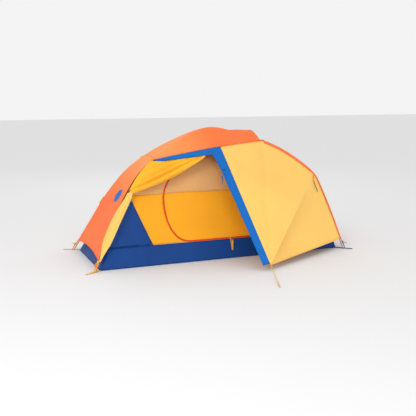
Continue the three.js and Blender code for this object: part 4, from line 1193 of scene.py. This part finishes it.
for k in (0.985, 0.9, 0.7, 0.45, 0.2, 0.02):
    ring = bottom_ring * np.array([k, k, 1])
    ring[:, 2] = 0.7
    rings.append(ring)
P = np.array(rings)
tub_faces = grid_faces(*P.shape[:2], closed=True)
last = (len(P) - 1) * P.shape[1]
tub_faces.append(tuple(last + j for j in range(P.shape[1])))
flat_uv = P.copy()
for k in range(12):
    flat_uv[k] = bottom_ring + unit(bottom_ring * np.array([1, 1, 0])) * (155 * (1 - k / 11))
tub = new_piece("bathtub_cloth", P.reshape(-1, 3), tub_faces, floor_navy,
                flat_uv.reshape(-1, 3)[:, :2] / 1000)
turn_outwards(tub)
thicken(tub)
put(tub, "tent", ["bathtub_floor"])
top_line = np.vstack([top_ring, top_ring[:1]])
band("tub_seam_tape", top_line + np.array([0, 0, 1.0]), top_line * 0 + np.array([0, 0, 1.0]), 11, floor_navy,
     lift=-2.4)

# %% [markdown]
# ## The roof vent
# A hood of the same cloth stands open over the head end, propped by a small strut, so that damp air can
# leave. Its brim is bound.

# %% Hood
HOOD_X, HOOD_TIP_X, HOOD_OPENING, CROWN_HEAD_X = 205, 388, 62, 432
crown = Canopy(14, 82, -520, 432, 100, 28)


def over_crown(x, share, lift):
    s = station_where(lambda p: p[..., 0], x, 0.4, 0.95)
    p = crown.rib(-1, s) * (1 - share) / 2 + crown.rib(1, s) * (1 + share) / 2
    return p + outward(p) * lift


brim_middle = over_crown(HOOD_TIP_X, 0, HOOD_OPENING)
hood_back = over_crown(HOOD_X, 0, 3.4)
hood_rows = []
for k in shares(25):
    x = HOOD_X + (CROWN_HEAD_X - 4 - HOOD_X) * k
    wide = 0.4 + 0.56 * k
    centre = hood_back + (brim_middle - hood_back) * k
    row = []
    for share in np.linspace(-1, 1, 33):
        low = over_crown(x, share * wide, 4.0)
        up = np.array([centre[0], low[1], centre[2] + 1.2])
        row.append(low + (up - low) * (1 - abs(share) ** 1.7))
    hood_rows.append(row)
P = np.array(hood_rows)
k, w = np.meshgrid(shares(25), shares(33), indexing="ij")
P = P + outward(P) * (np.sin(math.pi * w) * 2.0 * np.sin(math.pi * k) + pulls(w, k, 1.2, 2.0, 0.5))[..., None]
sheet_piece("roof_vent_hood", P, fly_orange, ["vent_hood"])
brim = P[-1]
band("vent_brim_binding", brim, P[-1] - P[-2], 8, fly_orange, lift=1.5)

# %% [markdown]
# ## Poles
# Each arch is five anodised tubes with a ferrule in each joint, threaded on a shock cord. A bar grown
# along the arch's own line keeps the tube round all the way; the frame's hidden cord stays inside it.

# %% Tubes
POLE_END = 11.5
for pole, lift, flip in (("over_pole", POLE_SPACING / 2, -1), ("under_pole", -POLE_SPACING / 2, 1)):
    table, length = arch(lift)
    start = POLE_END / length
    for k in range(5):
        s = start + (1 - 2 * start) * np.linspace(k / 5, (k + 1) / 5, 44)
        s[0] += 0.3 / length
        s[-1] -= 0.3 / length
        path = at(table, s) * np.array([1, flip, 1])
        grown(f"{pole}_tube_{k + 1}", path, BAR, pole_aluminium, "pole_aluminium",
              replaces=[f"{pole}_section_{k + 1}"], Radius=POLE_RADIUS / 1000, Sides=20)

# %% [markdown]
# ## Seams, tapes and stitches
# A tent is held together by its seams, and they are what the eye follows. Bands of cloth lie over each
# seam and along each hem, and rows of stitches are grown along both.

# %% Bands on the fly
rim_way = unit(STAKE - leg_part)
share_up = shares(len(leg_part))
band_width = 15 + 15 * np.clip((share_up - 0.5) / 0.12, 0, 1)
band("head_leg_band", leg_part + rim_way * (band_width / 2)[:, None], rim_way, band_width, fly_orange,
     lift=3.2, columns=5)
tt = shares(60)
front_seam_line = fly.seam(-1, tt)
back_seam_line = fly.seam(1, tt)
for label, line, way in (("front", front_seam_line, 1), ("back", back_seam_line, -1)):
    across = 0 * line + np.array([0, -0.4 * way, 0.9])
    band(f"roof_seam_{label}", line + np.array([0, 1.5 * way, 5.5]), across, 9, fly_orange,
         lift=2.4)
w = shares(40)
for label, at_foot in (("foot", True), ("head", False)):
    low, high = fly.end(at_foot, w, 0 * w, 34), fly.end(at_foot, w, 0 * w + 0.02, 34)
    band(f"{label}_end_hem", low + unit(high - low) * 6, high - low, 12, fly_orange, lift=1.6)
low, high = fly.side(1, w, 0 * w, 45), fly.side(1, w, 0 * w + 0.03, 45)
band("back_hem", low + unit(high - low) * 6, high - low, 12, fly_yellow, lift=1.6)
hem_line, hem_next = porch_grid[1:-1, 0], porch_grid[1:-1, 1]
band("porch_hem", hem_line + unit(hem_next - hem_line) * 5, hem_next - hem_line, 10, fly_yellow,
     lift=2.2)
flap_line = edge + outward(edge) * 5.0
band("storm_flap_binding", flap_line[2:] + unit(outer - edge)[2:] * 4, (outer - edge)[2:], 8, flap_blue,
     lift=0.9)
print("bands sewn on")


# %% Stitches
def lifted(line, height):
    """The same line, raised off the cloth."""
    return line + outward(line) * height


leg_s = np.linspace(fly.foot_hem, fly.foot_end, 60)
head_s = np.linspace(fly.head_hem, fly.head_end, 60)
stitch_rows = {
    "roof_seam_stitches": [lifted(front_seam_line + np.array([0, -1, 6.5]), 3.4),
                           lifted(back_seam_line + np.array([0, 1, 6.5]), 3.4)],
    "leg_seam_stitches": [lifted(fly.rib(side, s) + np.array([shift, 0, 0]), 1.2)
                          for s, shift in ((leg_s, -9), (head_s, 9)) for side in (-1, 1)],
    "head_band_stitches": [lifted(leg_part + rim_way * (band_width - 3)[:, None], 4.2)],
}
for name, rows in stitch_rows.items():
    grown(name, rows, STITCHES, stitch_thread, "webbing_light", Pitch=0.007, Along=0.0045,
          Across=0.0011, Height=0.0011)
along_edge = lifted(edge + unit(outer - edge) * 8, 5.6)
along_zip = lifted(outer[37:] + unit(edge - outer)[37:] * 8, 4.0)
grown("storm_flap_stitches", [along_edge, along_zip], STITCHES, flap_blue, "flap_blue", Pitch=0.007,
      Along=0.0045, Across=0.0012, Height=0.0012)

# %% [markdown]
# ## Small hardware
# Guy-out tabs with a loop of cord sit at the legs' elbows. At each corner a strap with a ladder lock
# tightens the fly, and its loose tail hangs free. A loop ties the rolled door at its toggle, and a plain
# round patch is sewn to the foot end. The straps are bands, and the buckles are bent bars.

# %% Elbow tabs and their loops
def on_porch(height, share):
    """A point of the porch's shut half by the height of its leg's point and its share out from the stake."""
    i = float(np.interp(height, leg_part[:, 2], np.arange(len(leg_part))))
    j = share * (len(porch_grid) - 1)
    low, left = int(j), int(i)
    four = porch_grid[low:low + 2, left:left + 2]
    return ((four[0, 0] * (1 - i + left) + four[0, 1] * (i - left)) * (1 - j + low)
            + (four[1, 0] * (1 - i + left) + four[1, 1] * (i - left)) * (j - low))


def on_back(height, share):
    """The same on the back panel, by its leg's height and the share across it from that leg."""
    s = float(np.interp(height, leg_part[:, 2], shares(len(leg_part))))
    return fly.side(1, np.array([1 - share]), np.array([s]), 45)[0]


LOOP_DROP, LOOP_HALF_WIDTH = 100.0, 6.5
for label, place, near, far in (("front", on_porch, 0.995, 0.93), ("back", on_back, 0.005, 0.035)):
    root, inner_end = place(ELBOW_HEIGHT + 8, near), place(ELBOW_HEIGHT - 22, far)
    line = root + (inner_end - root) * shares(8)[:, None]
    sideways = unit(np.cross(inner_end - root, outward(root)))
    band(f"elbow_tab_{label}", line, line * 0 + sideways, 15, webbing_light, lift=4.6,
         thickness=0.0016)
    k = np.linspace(0, math.pi, 44)
    fall = np.sin(k) ** 0.85 * LOOP_DROP
    spread = np.cos(k) * LOOP_HALF_WIDTH
    loop = np.array([place(inner_end_height, far) for inner_end_height in ELBOW_HEIGHT - 20 - fall])
    lean = unit(np.cross(loop[0] - loop[21], outward(loop[0])))
    loop = loop + outward(loop) * 7.0 + lean * spread[:, None]
    length = np.linalg.norm(np.diff(loop, axis=0), axis=1).sum()
    piece = grown(f"elbow_loop_{label}", loop, BAR, dark_cord, "shock_cord", Radius=0.0016, Sides=8)
    print("elbow loop", label, "length", round(length), "mm")

# %% [markdown]
# Each corner strap runs from the fly down to its anchor. Its buckle, a loop with two inner bars, lies
# over it.

# %% Corner straps and their buckles
STRAP_WIDTH, TAIL_WIDTH = 19, 18
BUCKLE_WIDE, BUCKLE_TALL = 14.0, 13.0  # half sizes
BUCKLE_CORNERS = ((-1, -0.8), (-0.8, -1), (0.8, -1), (1, -0.8), (1, 0.8), (0.8, 1), (-0.8, 1), (-1, 0.8),
                  (-1, -0.8))


def box_mm(name):
    """The low and high corner of a frame part's box, in millimetres."""
    return [np.array(v) * 1000 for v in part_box(name)]


def between(a, b, count):
    """Even steps from one point to another."""
    return a + (b - a) * shares(count)[:, None]


for corner in ("foot_front", "foot_back", "head_front", "head_back"):
    dark = corner.startswith("head")
    strap_finish, slot = (webbing_dark, "webbing_dark") if dark else (webbing_light, "webbing_light")
    plastic, plastic_slot = (buckle_dark, "buckle_dark") if dark else (moulded_plastic, "buckle_light")
    low, high = box_mm(f"fly_strap_{corner}")
    end_sign = 1 if dark else -1
    side_sign = -1 if corner.endswith("front") else 1
    top_end = np.array([low[0] if dark else high[0], low[1] if side_sign > 0 else high[1], high[2]])
    low_end = np.array([high[0] if dark else low[0], high[1] if side_sign > 0 else low[1], low[2]])
    inset = np.array([-end_sign * 3.0, -side_sign * 3.0, 0])
    top_end, low_end = top_end - inset, low_end + inset + np.array([0, 0, 2.0])
    run = unit(low_end - top_end)
    facing = unit(outward(top_end) * np.array([1, 1, 0]))
    sideways = unit(np.cross(run, facing))
    out_way = np.cross(sideways, run) * np.sign(np.dot(np.cross(sideways, run), facing))
    line = between(top_end, low_end, 12)
    strap = band(f"corner_strap_{corner}", line, line * 0 + sideways, STRAP_WIDTH, strap_finish,
                 lift=0.2, thickness=0.0018, columns=5)
    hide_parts(f"fly_strap_{corner}")
    middle = sum(box_mm(f"ladder_lock_{corner}")) / 2

    def on_buckle(x, y, lift):
        return middle + sideways * x * BUCKLE_WIDE + run * y * BUCKLE_TALL + out_way * lift
    bars = [np.array([on_buckle(x, y, 2.4) for x, y in BUCKLE_CORNERS])]
    bars += [between(on_buckle(-1, y, 4.2), on_buckle(1, y, 4.2), 6) for y in (-0.35, 0.35)]
    grown(f"buckle_{corner}", bars, BAR, plastic, plastic_slot, f"ladder_lock_{corner}",
          [f"ladder_lock_{corner}"], Radius=0.0026, Sides=10)
    k = shares(16)
    tail = (middle + out_way * (5 + 26 * np.sin(math.pi * k * 0.5))[:, None] + run * (2 + 20 * k)[:, None]
            + sideways * (7 * np.sin(2.2 * k))[:, None])
    tail[:, 2] = np.maximum(tail[:, 2], 4.5)
    band(f"strap_tail_{corner}", tail, tail * 0 + sideways, TAIL_WIDTH, strap_finish,
         f"ladder_lock_{corner}", lift=0.3, thickness=0.0018, columns=4)
print("corner straps and buckles made")

# %% [markdown]
# Small pieces of webbing and cord come last: a tab on the door's zip pull, two turns of cord that tie the
# rolled door, the round patch, and tabs at the porch's corner and on the foot leg.

# %% The door pull's webbing tab
pull_low, pull_high = box_mm("door_zip_pull")
pull_middle = (pull_low + pull_high) / 2
tab = between(np.array([pull_middle[0], pull_low[1] - 1.5, pull_high[2] - 8]),
              np.array([pull_middle[0], pull_low[1] - 1.5, pull_low[2]]), 10)
band("zip_pull_tab", tab, tab * 0 + np.array([1.0, 0, 0]), 15, webbing_light, lift=0.4,
     body="door_zip_pull", thickness=0.0016)

# %% The tie of the rolled door, and the porch's corner tab
turn = np.linspace(0, 2 * math.pi, 40)
tie_run = unit(leg_centre[4] - fold_line[-4])
tie_face = unit(outward(tie) - tie_run * outward(tie).dot(tie_run))
tie_side = np.cross(tie_run, tie_face)
tie_rings = [np.array([tie + tie_run * shift + tie_side * 14.5 * math.cos(a) + tie_face * 13.5 * math.sin(a)
                       for a in turn]) for shift in (-3.0, 3.0)]
grown("door_tie_loop", tie_rings, BAR, toggle_red, "toggle_red", Radius=0.002, Sides=8)
tab_line = np.array([GUY_START + GUY_WAY * d for d in np.linspace(-20, 8, 10)]) + guy_lift * 2.4
band("porch_corner_tab", tab_line, tab_line * 0 + guy_side, 18, webbing_light, lift=0.4,
     thickness=0.0016)

# %% Patch
PATCH_W, PATCH_V, PATCH_RADIUS = 0.39, 0.55, 60.0
centre = fly.end(True, np.array([PATCH_W]), np.array([PATCH_V]))[0]
near = fly.end(True, np.array([PATCH_W + 0.02, PATCH_W]), np.array([PATCH_V, PATCH_V + 0.02]))
wide, tall = [np.linalg.norm(p - centre) / 0.02 for p in near]
radius, angle = np.meshgrid(np.linspace(0.02, 1, 9), np.linspace(0, 2 * math.pi, 49)[:-1], indexing="ij")
w = PATCH_W + radius * np.cos(angle) * PATCH_RADIUS / wide
v = PATCH_V + radius * np.sin(angle) * PATCH_RADIUS / tall
P = fly.end(True, w, v, rise=34)
P = sag(P, w, v, 9) + outward(P) * (pulls(w, v, 2.0, 1.5, 1.4) + 1.6)[..., None]
n = P.shape[1]
patch_faces = grid_faces(*P.shape[:2], closed=True) + [tuple(range(n))[::-1]]
patch = new_piece("round_patch", P.reshape(-1, 3), patch_faces, flap_blue,
                  np.stack([radius * np.cos(angle), radius * np.sin(angle)], axis=-1).reshape(-1, 2) * 0.06)
turn_outwards(patch)
thicken(patch, 0.0008)
put(patch, "tent")
grown("patch_stitches", lifted(np.vstack([P[-2], P[-2, :1]]), 0.7), STITCHES, stitch_thread,
      "webbing_light", Pitch=0.006, Along=0.004, Across=0.001, Height=0.001)

# %% The foot leg's tab
FOOT_TAB_ROW = 3.7  # counted like TIE_ROW, up the back leg
foot_tab_rows = np.linspace(FOOT_TAB_ROW - 0.3, FOOT_TAB_ROW + 0.3, 8)
foot_tab = fly.rib(1, foot_row(foot_tab_rows))
band("foot_leg_tab", foot_tab, unit(outward(foot_tab) * 0.6 + np.array([-0.8, 0, 0])), 16, webbing_light,
     lift=3.0, thickness=0.0016)

# %% [markdown]
# ## Finishes for the frame's own hard parts
# Anchors, clips, tips, sliders, pulls and the line lock have the right shape already, so they keep it and
# only get their finish. The hidden corner straps and ladder locks get one as well.

# %% Finish by name
finish_of = {
    "fly_zip": zip_blue, "anchor_foot": webbing_light, "anchor_head": webbing_dark,
    "fly_strap_foot": webbing_light, "fly_strap_head": webbing_dark, "ladder_lock_foot": moulded_plastic,
    "ladder_lock_head": buckle_dark, "clip_": moulded_plastic, "crossing_clip": moulded_plastic,
    "pole_tip": moulded_plastic, "shock_cord": shock_cord, "slider": zip_metal,
    "door_zip_pull": webbing_light, "vent_strut": moulded_plastic, "line_lock": line_lock_plastic,
    "tieback_toggle": toggle_red}
count = 0
for name, node in nodes.items():
    for key, material in finish_of.items():
        if key in name:
            node.data.materials.clear()
            node.data.materials.append(material)
            count += 1
            break
print("finished frame parts:", count)
